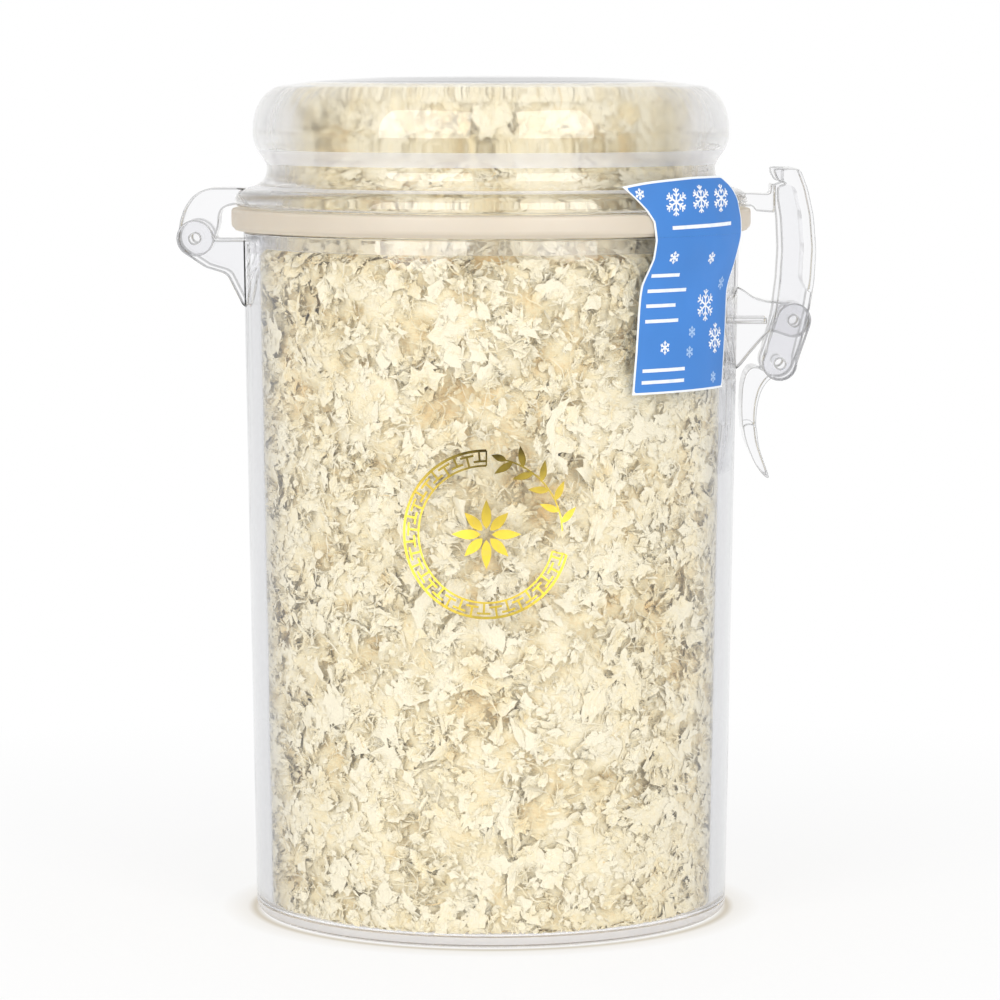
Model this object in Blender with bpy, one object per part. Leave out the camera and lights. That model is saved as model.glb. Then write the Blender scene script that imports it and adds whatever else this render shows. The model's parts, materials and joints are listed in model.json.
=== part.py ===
"""A clear clip-top canister, full of crushed edible bird's nest.

The frame is +Z up with the origin in the middle of the flat underside. The
hinge is at -X, the draw latch at +X, and the seal sticker at the front right.
"""

import math

import bmesh
import bpy
import numpy as np
from mathutils import Vector, noise

MM = 0.001
GAP = 0.3

# Jar, all sizes in millimetres
JAR_FOOT_R = 52.9
JAR_RIM_R = 55.3
JAR_RIM_Z = 152.5
JAR_WALL = 3.4
JAR_FLOOR = 3.2
FOOT_ROUND = 4.0
RIM_CHAMFER = 0.6

# Lid
LID_TOP_Z = 187.0
CROWN_EDGE_R = 46.0
CROWN_EDGE_Z = 184.8
DOME_R = 53.1
DOME_Z = 175.4
NECK_R = 49.8
NECK_Z = 166.4
FLANGE_R = 57.2
FLANGE_TOP_Z = 161.9
FLANGE_BOTTOM_Z = 157.9
SKIRT_R = 50.9
SKIRT_BORE_R = 48.2
SKIRT_BOTTOM_Z = 149.0
LID_BORE_TOP_R = 47.4
LID_ROOF = 3.0

# Gasket
GASKET_R = 57.9
GASKET_BORE_R = 51.3
GASKET_TOP_Z = FLANGE_BOTTOM_Z - GAP
GASKET_BOTTOM_Z = JAR_RIM_Z + GAP

# Hinge on the left
HINGE = (-65.6, 151.0)
HINGE_KNUCKLE_R = 4.1
TONGUE_HALF = 5.2
EAR_INNER = 5.6
EAR_OUTER = 9.0

# Latch on the right
BRACKET_PIVOT = (67.3, 132.7)
LINK_PIVOT = (64.1, 123.3)
LATCH_KNUCKLE_R = 3.9
BRACKET_HALF = 3.2
RIB_HALF = 6.6
CHEEK_INNER = 3.6
CHEEK_OUTER = 7.0
RAIL_INNER = 7.4
RAIL_OUTER = 10.0
TAIL_HALF = 9.4
TAIL_WIDE_Z = 113.5
LINK_PLATE = 2.6
LINK_PLATE_END_Z = 139.0
LINK_HEAD_Z = 166.5
CATCH_HALF = 5.0
CATCH_NOTCH_HALF = 5.6

PIN_R = 1.3
PIN_HOLE_R = PIN_R + GAP

# Contents
FILL_GAP = 0.45
FILL_LUMP = 1.7
FILL_LUMP_SIZE = 9.0
MOUND_TOP_Z = 182.4
MOUND_SHOULDER_Z = 178.0

# Seal sticker, whose side edges are rows of height and degrees round from the front
STICKER_THICK = 0.3
STICKER_SEAM_Z = JAR_RIM_Z + GAP / 2
STICKER_BOTTOM_Z = 118.9
STICKER_TOP_Z = 165.4
STICKER_TOP_DROP = 1.8
STICKER_LEFT = [(118.9, 33.5), (128.0, 34.3), (137.0, 34.9), (142.5, 35.4), (148.0, 37.2),
                (156.0, 36.8), (158.5, 34.6), (161.0, 31.8), (163.6, 28.8)]
STICKER_RIGHT = [(118.9, 67.3), (132.0, 68.8), (140.0, 69.3), (146.0, 70.2), (152.0, 70.6),
                 (156.0, 70.0), (160.0, 68.0), (163.0, 64.6), (165.4, 60.8)]
STICKER_LIFT = [(118.9, 0.0), (139.0, 0.0), (144.0, 0.55), (149.0, 2.0), (152.0, 2.55)]

# Facets
ROUND_STEPS = 56
PIN_STEPS = 16
FILL_ROWS = 40
FILL_COLUMNS = 34
STICKER_COLUMNS = 8


def clear_scene():
    for obj in list(bpy.data.objects):
        bpy.data.objects.remove(obj, do_unlink=True)


def material(name, colour, roughness, transmission=0.0, ior=1.5):
    made = bpy.data.materials.new(name)
    made.use_nodes = True
    shader = made.node_tree.nodes["Principled BSDF"]
    shader.inputs["Base Color"].default_value = (*colour, 1.0)
    shader.inputs["Roughness"].default_value = roughness
    shader.inputs["Metallic"].default_value = 0.0
    shader.inputs["Transmission Weight"].default_value = transmission
    shader.inputs["IOR"].default_value = ior
    return made


def add_object(name, shape, look=None):
    """Link a bmesh to the scene as an object, in metres and facing out."""
    bmesh.ops.recalc_face_normals(shape, faces=shape.faces)
    bmesh.ops.scale(shape, vec=Vector((MM, MM, MM)), verts=shape.verts)
    mesh = bpy.data.meshes.new(name)
    shape.to_mesh(mesh)
    shape.free()
    mesh.shade_smooth()
    mesh.set_sharp_from_angle(angle=math.radians(35))
    if look:
        mesh.materials.append(look)
    obj = bpy.data.objects.new(name, mesh)
    bpy.context.scene.collection.objects.link(obj)
    return obj


def helper(obj):
    """Mark an object that only shapes another one."""
    obj.hide_render = True
    obj.display_type = "WIRE"
    return obj


def combine(body, tools, operation):
    """Join the tools to the body, or cut them from it."""
    for tool in tools:
        step = body.modifiers.new(tool.name, "BOOLEAN")
        step.operation = operation
        step.solver = "EXACT"
        step.object = helper(tool)


def arc(centre, radius, start, end, steps):
    """Points (x, z) round a centre, from one angle to the other in degrees."""
    turns = [math.radians(start + (end - start) * i / steps) for i in range(steps + 1)]
    return [(centre[0] + radius * math.cos(t), centre[1] + radius * math.sin(t)) for t in turns]


def turned(name, outline, look=None):
    """Turn a closed (radius, z) outline once round the Z axis."""
    shape = bmesh.new()
    verts = [shape.verts.new((r, 0.0, z)) for r, z in outline]
    on_axis = outline[0][0] == 0.0 and outline[-1][0] == 0.0
    last = len(verts) - 1 if on_axis else len(verts)
    edges = [shape.edges.new((verts[i], verts[(i + 1) % len(verts)])) for i in range(last)]
    bmesh.ops.spin(
        shape, geom=verts + edges, cent=(0, 0, 0), axis=(0, 0, 1),
        angle=2 * math.pi, steps=ROUND_STEPS, use_merge=True,
    )
    bmesh.ops.remove_doubles(shape, verts=shape.verts, dist=1e-4)
    return add_object(name, shape, look)


def plate(name, outline, y_low, y_high, look=None):
    """Extrude an (x, z) outline along Y."""
    shape = bmesh.new()
    verts = [shape.verts.new((x, y_low, z)) for x, z in outline]
    face = shape.faces.new(verts)
    grown = bmesh.ops.extrude_face_region(shape, geom=[face])
    moved = [item for item in grown["geom"] if isinstance(item, bmesh.types.BMVert)]
    bmesh.ops.translate(shape, verts=moved, vec=(0.0, y_high - y_low, 0.0))
    return add_object(name, shape, look)


def rod(name, centre, radius, half_length, look=None):
    """A round bar along Y, through an (x, z) centre."""
    around = arc(centre, radius, 0.0, 360.0, PIN_STEPS)[:-1]
    return plate(name, around, -half_length, half_length, look)


def pair(name, outline, inner, outer):
    """The same plate on both sides of the middle plane."""
    return [
        plate(name + "_front", outline, -outer, -inner),
        plate(name + "_back", outline, inner, outer),
    ]


def wall_radius(z):
    """The jar's outer radius, which widens evenly from foot to rim."""
    return JAR_FOOT_R + (JAR_RIM_R - JAR_FOOT_R) * z / JAR_RIM_Z


def hinge_ear_outline():
    """A knuckle round the hinge pin, with a gusset that runs down the wall."""
    x, z = HINGE
    root_x = -wall_radius(z) + 2.0
    return (
        [(root_x, z - 0.4), (x + 4.4, z - 0.4)]
        + arc(HINGE, HINGE_KNUCKLE_R, 0.0, 240.0, 12)
        + [(x + 2.4, 144.5), (x + 6.4, 143.3), (x + 7.3, 142.6), (-55.1, 136.2), (root_x, 135.2)]
    )


def latch_bracket_outline():
    """A web from the wall out to the bracket pivot."""
    return [
        (53.2, 140.6), (56.0, 139.6), (58.6, 137.7), (61.6, 136.8),
        *arc(BRACKET_PIVOT, LATCH_KNUCKLE_R, 100.0, -100.0, 10),
        (62.6, 130.2), (60.2, 127.8), (57.8, 125.0), (55.6, 122.2), (53.2, 120.6),
    ]


def make_jar(look):
    foot_r = wall_radius(FOOT_ROUND)
    inner = wall_radius(FOOT_ROUND + JAR_FLOOR) - JAR_WALL
    rim_in = JAR_RIM_R - JAR_WALL
    outline = (
        [(0.0, 0.0)]
        + arc((foot_r - FOOT_ROUND, FOOT_ROUND), FOOT_ROUND, -90.0, 0.0, 4)
        + [
            (JAR_RIM_R, JAR_RIM_Z - RIM_CHAMFER),
            (JAR_RIM_R - RIM_CHAMFER, JAR_RIM_Z),
            (rim_in + RIM_CHAMFER / 2, JAR_RIM_Z),
            (rim_in, JAR_RIM_Z - RIM_CHAMFER / 2),
            (inner, JAR_FLOOR + 3.0),
            (inner - 0.9, JAR_FLOOR + 0.9),
            (inner - 3.0, JAR_FLOOR),
            (0.0, JAR_FLOOR),
        ]
    )
    jar = turned("jar_body", outline, look)
    rib = plate("bracket_rib", [(53.2, 131.9), (61.4, 131.9), (61.4, 133.3), (53.2, 133.3)],
                -RIB_HALF, RIB_HALF)
    web = plate("bracket_web", latch_bracket_outline(), -BRACKET_HALF, BRACKET_HALF)
    ears = pair("hinge_ear", hinge_ear_outline(), EAR_INNER, EAR_OUTER)
    combine(jar, [rib, web, *ears], "UNION")
    holes = [
        rod("hinge_hole", HINGE, PIN_HOLE_R, EAR_OUTER + 2.0),
        rod("bracket_hole", BRACKET_PIVOT, PIN_HOLE_R, BRACKET_HALF + 2.0),
    ]
    combine(jar, holes, "DIFFERENCE")


def lid_outline():
    """The lid's section: crown, dome, neck, flange and skirt, then its bore."""
    crown = [(0.0, LID_TOP_Z), (24.0, LID_TOP_Z - 0.4), (CROWN_EDGE_R - 6.0, CROWN_EDGE_Z + 0.9)]
    shoulder_r = DOME_R - CROWN_EDGE_R
    shoulder_z = CROWN_EDGE_Z - DOME_Z
    shoulder = [
        (CROWN_EDGE_R + shoulder_r * math.sin(t), DOME_Z + shoulder_z * math.cos(t))
        for t in [math.radians(18.0 * i) for i in range(6)]
    ]
    neck = [(DOME_R, DOME_Z - 2.4), (52.4, 171.0), (50.8, 168.4), (NECK_R, NECK_Z),
            (50.4, 164.0), (52.4, 162.5)]
    flange = [(FLANGE_R - 2.2, FLANGE_TOP_Z), (FLANGE_R - 0.65, FLANGE_TOP_Z - 0.65),
              (FLANGE_R, FLANGE_TOP_Z - 2.2), (FLANGE_R, FLANGE_BOTTOM_Z)]
    skirt = [(SKIRT_R, FLANGE_BOTTOM_Z), (SKIRT_R, SKIRT_BOTTOM_Z), (SKIRT_BORE_R, SKIRT_BOTTOM_Z)]
    roof = LID_TOP_Z - LID_ROOF
    bore = [(LID_BORE_TOP_R, DOME_Z), (46.6, DOME_Z + 3.6), (44.2, CROWN_EDGE_Z - 3.4),
            (40.0, CROWN_EDGE_Z - 2.2), (24.0, roof - 0.4), (0.0, roof)]
    return crown + shoulder + neck + flange + skirt + bore


def lid_arm_outline():
    """The tongue that hooks over from the flange to the hinge pin."""
    return (
        [(-53.0, FLANGE_TOP_Z), (-56.5, 162.1), (-62.4, 162.1), (-64.6, 161.4), (-66.6, 160.0),
         (-68.2, 157.6), (-69.2, 154.6)]
        + arc(HINGE, HINGE_KNUCKLE_R, 180.0, 360.0, 8)
        + [(-60.5, 153.4), (-60.4, 156.2), (-59.6, 157.7), (-57.4, 158.3), (-53.0, 158.3)]
    )


def catch_outline():
    """The catch that stands out of the flange, with its lip turned up."""
    return [(53.0, 158.0), (58.2, 158.0), (58.9, 156.9), (62.9, 156.6), (63.3, 157.0),
            (63.3, 162.6), (62.9, 163.0), (62.3, 163.0), (62.1, 161.0), (61.4, 160.7),
            (57.6, 160.9), (53.0, 160.9)]


def make_lid(look):
    lid = turned("lid", lid_outline(), look)
    arm = plate("lid_arm", lid_arm_outline(), -TONGUE_HALF, TONGUE_HALF)
    catch = plate("lid_catch", catch_outline(), -CATCH_HALF, CATCH_HALF)
    combine(lid, [arm, catch], "UNION")
    combine(lid, [rod("arm_hole", HINGE, PIN_HOLE_R, TONGUE_HALF + 2.0)], "DIFFERENCE")


def make_gasket(look):
    low = GASKET_BOTTOM_Z
    high = GASKET_TOP_Z
    outline = [
        (GASKET_BORE_R, low), (GASKET_BORE_R, high), (GASKET_R - 0.7, high),
        (GASKET_R, high - 0.8), (GASKET_R, low + 1.0), (GASKET_R - 0.9, low),
    ]
    return turned("gasket", outline, look)


def tail_outline():
    """The curved thumb tail, from under the link pivot to its tip."""
    return [
        (61.9, 121.0), (58.6, 122.6), (56.9, 121.4), (56.0, 118.5), (55.75, 113.8), (55.9, 109.8),
        (56.6, 106.1), (57.6, 103.4), (58.9, 100.5), (60.6, 98.3), (61.7, 97.6), (61.9, 98.2),
        (60.6, 101.6), (59.5, 105.0), (59.0, 109.8), (59.3, 113.8), (60.2, 117.2), (61.9, 119.6),
        (63.4, 120.2),
    ]


def make_handle(look):
    """Two cheeks on the bracket pivot, and a tail that widens to a thumb pad."""
    dx = BRACKET_PIVOT[0] - LINK_PIVOT[0]
    dz = BRACKET_PIVOT[1] - LINK_PIVOT[1]
    lean = math.degrees(math.atan2(dz, dx))
    cheek = (
        arc(LINK_PIVOT, LATCH_KNUCKLE_R, lean + 90.0, lean + 270.0, 8)
        + arc(BRACKET_PIVOT, LATCH_KNUCKLE_R, lean - 90.0, lean + 90.0, 8)
    )
    handle = plate("latch_handle", tail_outline(), -CHEEK_OUTER, CHEEK_OUTER, look)
    pad = [point for point in tail_outline() if point[1] < TAIL_WIDE_Z]
    pad_piece = plate("thumb_pad", pad, -TAIL_HALF, TAIL_HALF)
    combine(handle, [pad_piece, *pair("handle_cheek", cheek, CHEEK_INNER, CHEEK_OUTER)], "UNION")
    holes = [
        rod("handle_bracket_hole", BRACKET_PIVOT, PIN_HOLE_R, CHEEK_OUTER + 2.0),
        rod("handle_link_hole", LINK_PIVOT, PIN_HOLE_R, CHEEK_OUTER + 2.0),
    ]
    combine(handle, holes, "DIFFERENCE")


def link_outer_edge():
    """The link's bowed outer edge, from its head down to the lower knuckle."""
    return [(68.4, 166.4), (70.1, 161.9), (71.4, 155.9), (72.0, 148.5), (71.6, 141.4),
            (70.6, 135.3), (69.4, 130.2)]


def link_inner_edge():
    """The inner edge of the link's rails, from the knuckle up to the nose."""
    return [(61.4, 128.2), (62.5, 132.4), (63.1, 135.3), (63.9, 141.4), (64.3, 148.5),
            (64.0, 155.3), (63.3, 159.9), (63.3, 162.6)]


def link_nose():
    """The nose that leans over the catch."""
    return [(65.3, 163.2), (64.5, 163.25), (63.5, 163.6), (62.7, 165.1), (62.5, 166.2),
            (63.0, 166.6)]


def make_link(look):
    """Two rails on the link pivot, joined by a bowed front plate and two nosed horns."""
    rail = (
        link_outer_edge()
        + arc(LINK_PIVOT, LATCH_KNUCKLE_R, 10.0, -215.0, 10)
        + link_inner_edge()
        + link_nose()
    )
    outer = [point for point in link_outer_edge() if point[1] > LINK_PLATE_END_Z]
    front = outer + [(71.2, LINK_PLATE_END_Z), (70.4, LINK_PLATE_END_Z)]
    front += [(x - LINK_PLATE, z + 0.4) for x, z in reversed(outer[1:])]
    front += [(64.9, 163.2), (64.9, LINK_HEAD_Z)]
    link = plate("latch_link", front, -RAIL_OUTER, RAIL_OUTER, look)
    head = [(66.2, LINK_HEAD_Z), *link_nose()[::-1], (66.2, 163.25)]
    horns = pair("link_horn", head, CATCH_NOTCH_HALF, RAIL_OUTER - 0.2)
    combine(link, [*pair("link_rail", rail, RAIL_INNER, RAIL_OUTER), *horns], "UNION")
    combine(link, [rod("link_hole", LINK_PIVOT, PIN_HOLE_R, RAIL_OUTER + 2.0)], "DIFFERENCE")


def fill_section():
    """The contents' envelope: (radius, z) points from the floor to the heaped top."""
    foot = JAR_FLOOR + GAP
    inner_foot = wall_radius(foot) - JAR_WALL - FILL_GAP
    inner_top = wall_radius(147.0) - JAR_WALL - FILL_GAP
    return [
        (0.0, foot), (24.0, foot), (44.0, foot), (inner_foot - 1.6, foot + 1.0),
        (inner_foot, foot + 4.4), (inner_top, 146.6), (inner_top - 1.2, 148.2),
        (46.9, 148.5), (46.3, 151.0), (45.3, 160.0), (44.6, 167.0), (43.2, 174.0),
        (41.0, 178.6), (37.0, 181.0), (28.0, MOUND_TOP_Z - 0.3), (0.0, MOUND_TOP_Z),
    ]


def make_fill(look):
    """A lumpy heap that follows the jar's bore and rises into the lid."""
    section = np.array(fill_section())
    lengths = np.concatenate([[0.0], np.cumsum(np.hypot(*np.diff(section, axis=0).T))])
    at = np.linspace(0.0, lengths[-1], FILL_ROWS + 1)
    radii = np.interp(at, lengths, section[:, 0])
    heights = np.interp(at, lengths, section[:, 1])
    shape = bmesh.new()
    rings = []
    for r, z in zip(radii[1:-1], heights[1:-1]):
        ring = []
        for column in range(FILL_COLUMNS):
            turn = 2 * math.pi * column / FILL_COLUMNS
            spot = Vector((r * math.cos(turn), r * math.sin(turn), z)) / FILL_LUMP_SIZE
            dip = FILL_LUMP * (0.5 + 0.5 * max(-1.0, min(1.0, 1.6 * noise.noise(spot))))
            sunk_r = r - dip
            sunk_z = z - dip if z > MOUND_SHOULDER_Z else z
            ring.append(shape.verts.new((sunk_r * math.cos(turn), sunk_r * math.sin(turn), sunk_z)))
        rings.append(ring)
    foot = shape.verts.new((0.0, 0.0, heights[0]))
    top = shape.verts.new((0.0, 0.0, heights[-1] - FILL_LUMP / 2))
    for column in range(FILL_COLUMNS):
        after = (column + 1) % FILL_COLUMNS
        shape.faces.new((foot, rings[0][after], rings[0][column]))
        shape.faces.new((top, rings[-1][column], rings[-1][after]))
        for low, high in zip(rings[:-1], rings[1:]):
            shape.faces.new((low[column], low[after], high[after], high[column]))
    return add_object("nest_fill", shape, look)


def read_off(rows, z):
    """The value at height z, read along rows of (height, value)."""
    heights, values = zip(*rows)
    return float(np.interp(z, heights, values))


def sticker_radius(z):
    """The sticker's inner face: on the wall low down, out past the gasket higher up."""
    if z > JAR_RIM_Z:
        return GASKET_R + GAP
    return wall_radius(z) + GAP + read_off(STICKER_LIFT, z)


def make_sticker(name, z_low, z_high, rows, look):
    """One half of the sticker: a thin curved sheet between two heights."""
    shape = bmesh.new()
    layers = []
    for lift in (0.0, STICKER_THICK):
        grid = []
        for i in range(rows + 1):
            z = z_low + (z_high - z_low) * i / rows
            left = read_off(STICKER_LEFT, z)
            right = read_off(STICKER_RIGHT, z)
            line = []
            for j in range(STICKER_COLUMNS + 1):
                across = j / STICKER_COLUMNS
                turn = math.radians(left + (right - left) * across)
                drop = STICKER_TOP_DROP * (1.0 - across) ** 3 if z == STICKER_TOP_Z else 0.0
                radius = sticker_radius(z) + lift
                spot = (radius * math.sin(turn), -radius * math.cos(turn), z - drop)
                line.append(shape.verts.new(spot))
            grid.append(line)
        layers.append(grid)
    inner, outer = layers
    for i in range(rows):
        for j in range(STICKER_COLUMNS):
            shape.faces.new((inner[i][j], inner[i + 1][j], inner[i + 1][j + 1], inner[i][j + 1]))
            shape.faces.new((outer[i][j], outer[i][j + 1], outer[i + 1][j + 1], outer[i + 1][j]))
        for j in (0, STICKER_COLUMNS):
            shape.faces.new((inner[i][j], outer[i][j], outer[i + 1][j], inner[i + 1][j]))
    for i in (0, rows):
        for j in range(STICKER_COLUMNS):
            shape.faces.new((inner[i][j], inner[i][j + 1], outer[i][j + 1], outer[i][j]))
    return add_object(name, shape, look)


def main():
    clear_scene()
    plastic = material("clear_plastic", (0.97, 0.97, 0.98), 0.04, transmission=1.0, ior=1.49)
    silicone = material("silicone", (0.72, 0.67, 0.60), 0.5)
    nest = material("dried_nest", (0.88, 0.78, 0.58), 0.8)
    paper = material("printed_film", (0.05, 0.25, 0.68), 0.35)
    make_jar(plastic)
    make_lid(plastic)
    make_gasket(silicone)
    make_fill(nest)
    make_handle(plastic)
    make_link(plastic)
    rod("hinge_pin", HINGE, PIN_R, EAR_OUTER, plastic)
    rod("bracket_pin", BRACKET_PIVOT, PIN_R, CHEEK_OUTER - 0.2, plastic)
    rod("link_pin", LINK_PIVOT, PIN_R, RAIL_OUTER, plastic)
    make_sticker("seal_sticker_lower", STICKER_BOTTOM_Z, STICKER_SEAM_Z - GAP / 2, 8, paper)
    make_sticker("seal_sticker_upper", STICKER_SEAM_Z + GAP / 2, STICKER_TOP_Z, 6, paper)


main()
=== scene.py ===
import json
import math

import bpy
import numpy as np
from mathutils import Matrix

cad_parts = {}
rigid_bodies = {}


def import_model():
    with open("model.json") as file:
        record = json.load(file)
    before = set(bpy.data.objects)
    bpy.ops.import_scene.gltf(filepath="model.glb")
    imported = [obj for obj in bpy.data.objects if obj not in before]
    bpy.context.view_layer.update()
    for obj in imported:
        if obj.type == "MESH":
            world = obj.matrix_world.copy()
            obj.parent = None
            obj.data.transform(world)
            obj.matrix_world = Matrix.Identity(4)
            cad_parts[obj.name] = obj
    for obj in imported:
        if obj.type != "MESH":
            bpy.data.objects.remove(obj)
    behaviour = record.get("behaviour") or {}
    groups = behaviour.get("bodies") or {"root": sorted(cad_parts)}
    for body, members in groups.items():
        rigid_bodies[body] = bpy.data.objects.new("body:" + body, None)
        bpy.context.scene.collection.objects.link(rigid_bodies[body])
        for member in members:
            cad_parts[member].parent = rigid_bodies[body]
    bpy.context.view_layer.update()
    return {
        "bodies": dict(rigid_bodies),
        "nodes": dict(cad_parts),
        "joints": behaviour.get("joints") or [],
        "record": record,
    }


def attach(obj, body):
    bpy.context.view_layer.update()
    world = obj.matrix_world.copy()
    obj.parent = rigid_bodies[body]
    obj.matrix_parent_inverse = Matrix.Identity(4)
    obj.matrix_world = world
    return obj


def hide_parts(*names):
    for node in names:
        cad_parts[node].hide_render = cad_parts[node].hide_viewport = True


bl_info = {
    "name": "Jar of crushed nest",
    "version": (1, 0, 0),
    "blender": (4, 5, 0),
    "location": "View3D > Sidebar > Nest Jar",
    "description": "Builds the clear clip-top jar, its lid, latch, sticker and nest flakes",
    "category": "Add Mesh",
}

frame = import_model()

MM = 0.001
FULL_TURN = 2.0 * math.pi

# Jar, in millimetres. The floor is thinner than the CAD's, because the flakes lie lower in the
# photo. The foot is satin up to SATIN_Z, with a grey line between the two heights of FOOT_SHADE_LINE_Z
FOOT_R = 52.9
RIM_R = 55.3
RIM_Z = 152.5
WALL = 3.4
FLOOR = 2.3
SATIN_Z = 2.9
# The grey line is painted shade at the foot's lower edge.
FOOT_SHADE_LINE_Z = (0.7, 0.9)

# Lid, satin between the two waist heights and drawn in the bore up to DRAWN_TOP_Z
FLANGE_R = 57.2
FLANGE_TOP_Z = 161.9
FLANGE_LOW_Z = 157.9
DOME_R = 53.1
DOME_Z = 175.4
CROWN_R = 46.0
CROWN_Z = 184.8
LID_TOP_Z = 187.0
SKIRT_R = 50.9
SKIRT_BORE_R = 48.2
SKIRT_LOW_Z = 149.0
WAIST_LOW_Z = 167.6
WAIST_HIGH_Z = 170.7
DRAWN_TOP_Z = 184.0

# Gasket
GASKET_R = 57.9
GASKET_BORE_R = 51.3
GASKET_LOW_Z = 152.8
GASKET_TOP_Z = 157.6

# Hinge and latch, as (x, z)
HINGE = (-65.6, 151.0)
HINGE_KNUCKLE_R = 4.1
BRACKET_PIVOT = (67.3, 132.7)
LINK_PIVOT = (64.1, 123.3)
LATCH_KNUCKLE_R = 3.9
PIN_R = 1.35
HOLE_R = 1.5

# Sticker: rows of height and degrees round from the front
STICKER_BOTTOM_Z = 118.9
STICKER_SEAM_Z = 152.65
STICKER_TOP_Z = 165.4
STICKER_LEFT = ((118.9, 33.5), (128.0, 34.3), (137.0, 34.9), (142.5, 35.4), (148.0, 37.2),
                (152.0, 37.4), (156.0, 36.6), (158.5, 34.6), (161.0, 31.8), (163.6, 28.8))
STICKER_RIGHT = ((118.9, 67.3), (132.0, 68.8), (140.0, 69.3), (146.0, 70.2), (152.0, 70.6),
                 (156.0, 70.0), (160.0, 68.0), (163.0, 64.6), (165.4, 60.8))
STICKER_FLAT_R = 55.6
FILM_THICKNESS = 0.12
PER_DEGREE = math.radians(1.0) * STICKER_FLAT_R

# Finishes of the clear plastic, by their number in each part's list of materials
# The third finish is grey: painted shade on rounded plate edges, round pin holes and in a line
# round the jar's foot.
WALLS, PLATE, PAINTED_EDGE, HAZE, BORE = range(5)


# Small tools for arrays and meshes

def read_off(rows, z):
    """The value at height z, read along rows of (height, value)."""
    heights, values = np.array(rows).T
    return np.interp(z, heights, values)


def wall_radius(z):
    """The jar's outer radius, which widens evenly from foot to rim."""
    return FOOT_R + (RIM_R - FOOT_R) * z / RIM_Z


def arc(centre, radius, start, end, steps):
    """Points (x, z) round a centre, from one angle to the other in degrees."""
    turns = np.radians(np.linspace(start, end, steps + 1))
    return np.stack([centre[0] + radius * np.cos(turns), centre[1] + radius * np.sin(turns)], 1)


def soften(points, radius, steps=5, closed=True):
    """Round a line's corners. Each corner turns into the parabola between the points that lie the
    radius before and after it, or half a side away where that is less."""
    p = np.asarray(points, float)
    reach = np.broadcast_to(np.asarray(radius, float), len(p))[:, None]
    back = np.roll(p, 1, 0) - p
    ahead = np.roll(p, -1, 0) - p
    back_length = np.linalg.norm(back, axis=1, keepdims=True)
    ahead_length = np.linalg.norm(ahead, axis=1, keepdims=True)
    first = p + back / back_length * np.minimum(reach, back_length / 2)
    last = p + ahead / ahead_length * np.minimum(reach, ahead_length / 2)
    if not closed:
        first[[0, -1]] = last[[0, -1]] = p[[0, -1]]
    t = np.linspace(0.0, 1.0, steps + 1)[None, :, None]
    curve = (1 - t) ** 2 * first[:, None] + 2 * t * (1 - t) * p[:, None] + t ** 2 * last[:, None]
    curve = curve.reshape(-1, p.shape[1])
    kept = np.linalg.norm(curve - np.roll(curve, 1, 0), axis=1) > 1e-4
    if not closed:
        kept[0] = True
    return curve[kept]


def hold_sides(points, gap=0.15):
    """Add a point just inside each end of every long side, so smooth shading stays flat there."""
    p = np.asarray(points, float)
    a = p[:-1]
    b = p[1:]
    side = np.linalg.norm(b - a, axis=1, keepdims=True)
    long_enough = side[:, 0] > 6 * gap
    share = gap / np.maximum(side, 6 * gap)
    rows = np.stack([a, a + (b - a) * share, b - (b - a) * share], 1).reshape(-1, p.shape[1])
    kept = np.stack([np.ones_like(long_enough), long_enough, long_enough], 1).ravel()
    return np.vstack([rows[kept], p[-1:]])


def make_object(name, verts, faces, looks=(), smooth=True, sharp=None, finish=None):
    """A new mesh object from points in millimetres and rows of vertex numbers. Where finish is
    given, it holds the number of each face's material."""
    mesh = bpy.data.meshes.new(name)
    mesh.from_pydata(np.asarray(verts) * MM, [], faces)
    for look in looks:
        mesh.materials.append(look)
    if finish is not None:
        mesh.polygons.foreach_set("material_index", np.ascontiguousarray(finish, np.int32))
    mesh.validate()
    if smooth:
        mesh.shade_smooth()
    if sharp:
        mesh.set_sharp_from_angle(angle=math.radians(sharp))
    obj = bpy.data.objects.new(name, mesh)
    bpy.context.scene.collection.objects.link(obj)
    return obj


def face_out(obj):
    """Turn a closed mesh's faces outwards: its signed volume has to be above zero."""
    mesh = obj.data
    mesh.calc_loop_triangles()
    corners = np.empty(len(mesh.loop_triangles) * 3, np.int32)
    mesh.loop_triangles.foreach_get("vertices", corners)
    co = np.empty(len(mesh.vertices) * 3, np.float32)
    mesh.vertices.foreach_get("co", co)
    a, b, c = np.moveaxis(co.reshape(-1, 3)[corners.reshape(-1, 3)], 1, 0)
    if np.einsum("ij,ij->", a, np.cross(b, c)) < 0:
        mesh.flip_normals()
    return obj


def grid_faces(rows, columns, wrap_rows=False, wrap_columns=False):
    """Quads between neighbours of a grid of points, numbered row by row."""
    i = np.arange(rows if wrap_rows else rows - 1)[:, None]
    j = np.arange(columns if wrap_columns else columns - 1)[None, :]
    i_next = (i + 1) % rows
    j_next = (j + 1) % columns
    quads = [i * columns + j, i * columns + j_next, i_next * columns + j_next, i_next * columns + j]
    return np.stack([q + 0 * i + 0 * j for q in quads], -1).reshape(-1, 4)


def pole_faces(rows, columns):
    """Triangles from a grid's first and last rows to the two points that follow it."""
    j = np.arange(columns)
    after = (j + 1) % columns
    last = (rows - 1) * columns
    pole = 0 * j + rows * columns
    fans = [np.stack([pole, after, j], 1), np.stack([pole + 1, last + j, last + after], 1)]
    return np.vstack(fans).tolist()


def swing(radius, z, turn):
    """Points at a radius and a height, turned round the Z axis from the front."""
    return np.stack([radius * np.sin(turn), -radius * np.cos(turn), z + 0 * turn], -1)


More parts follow.
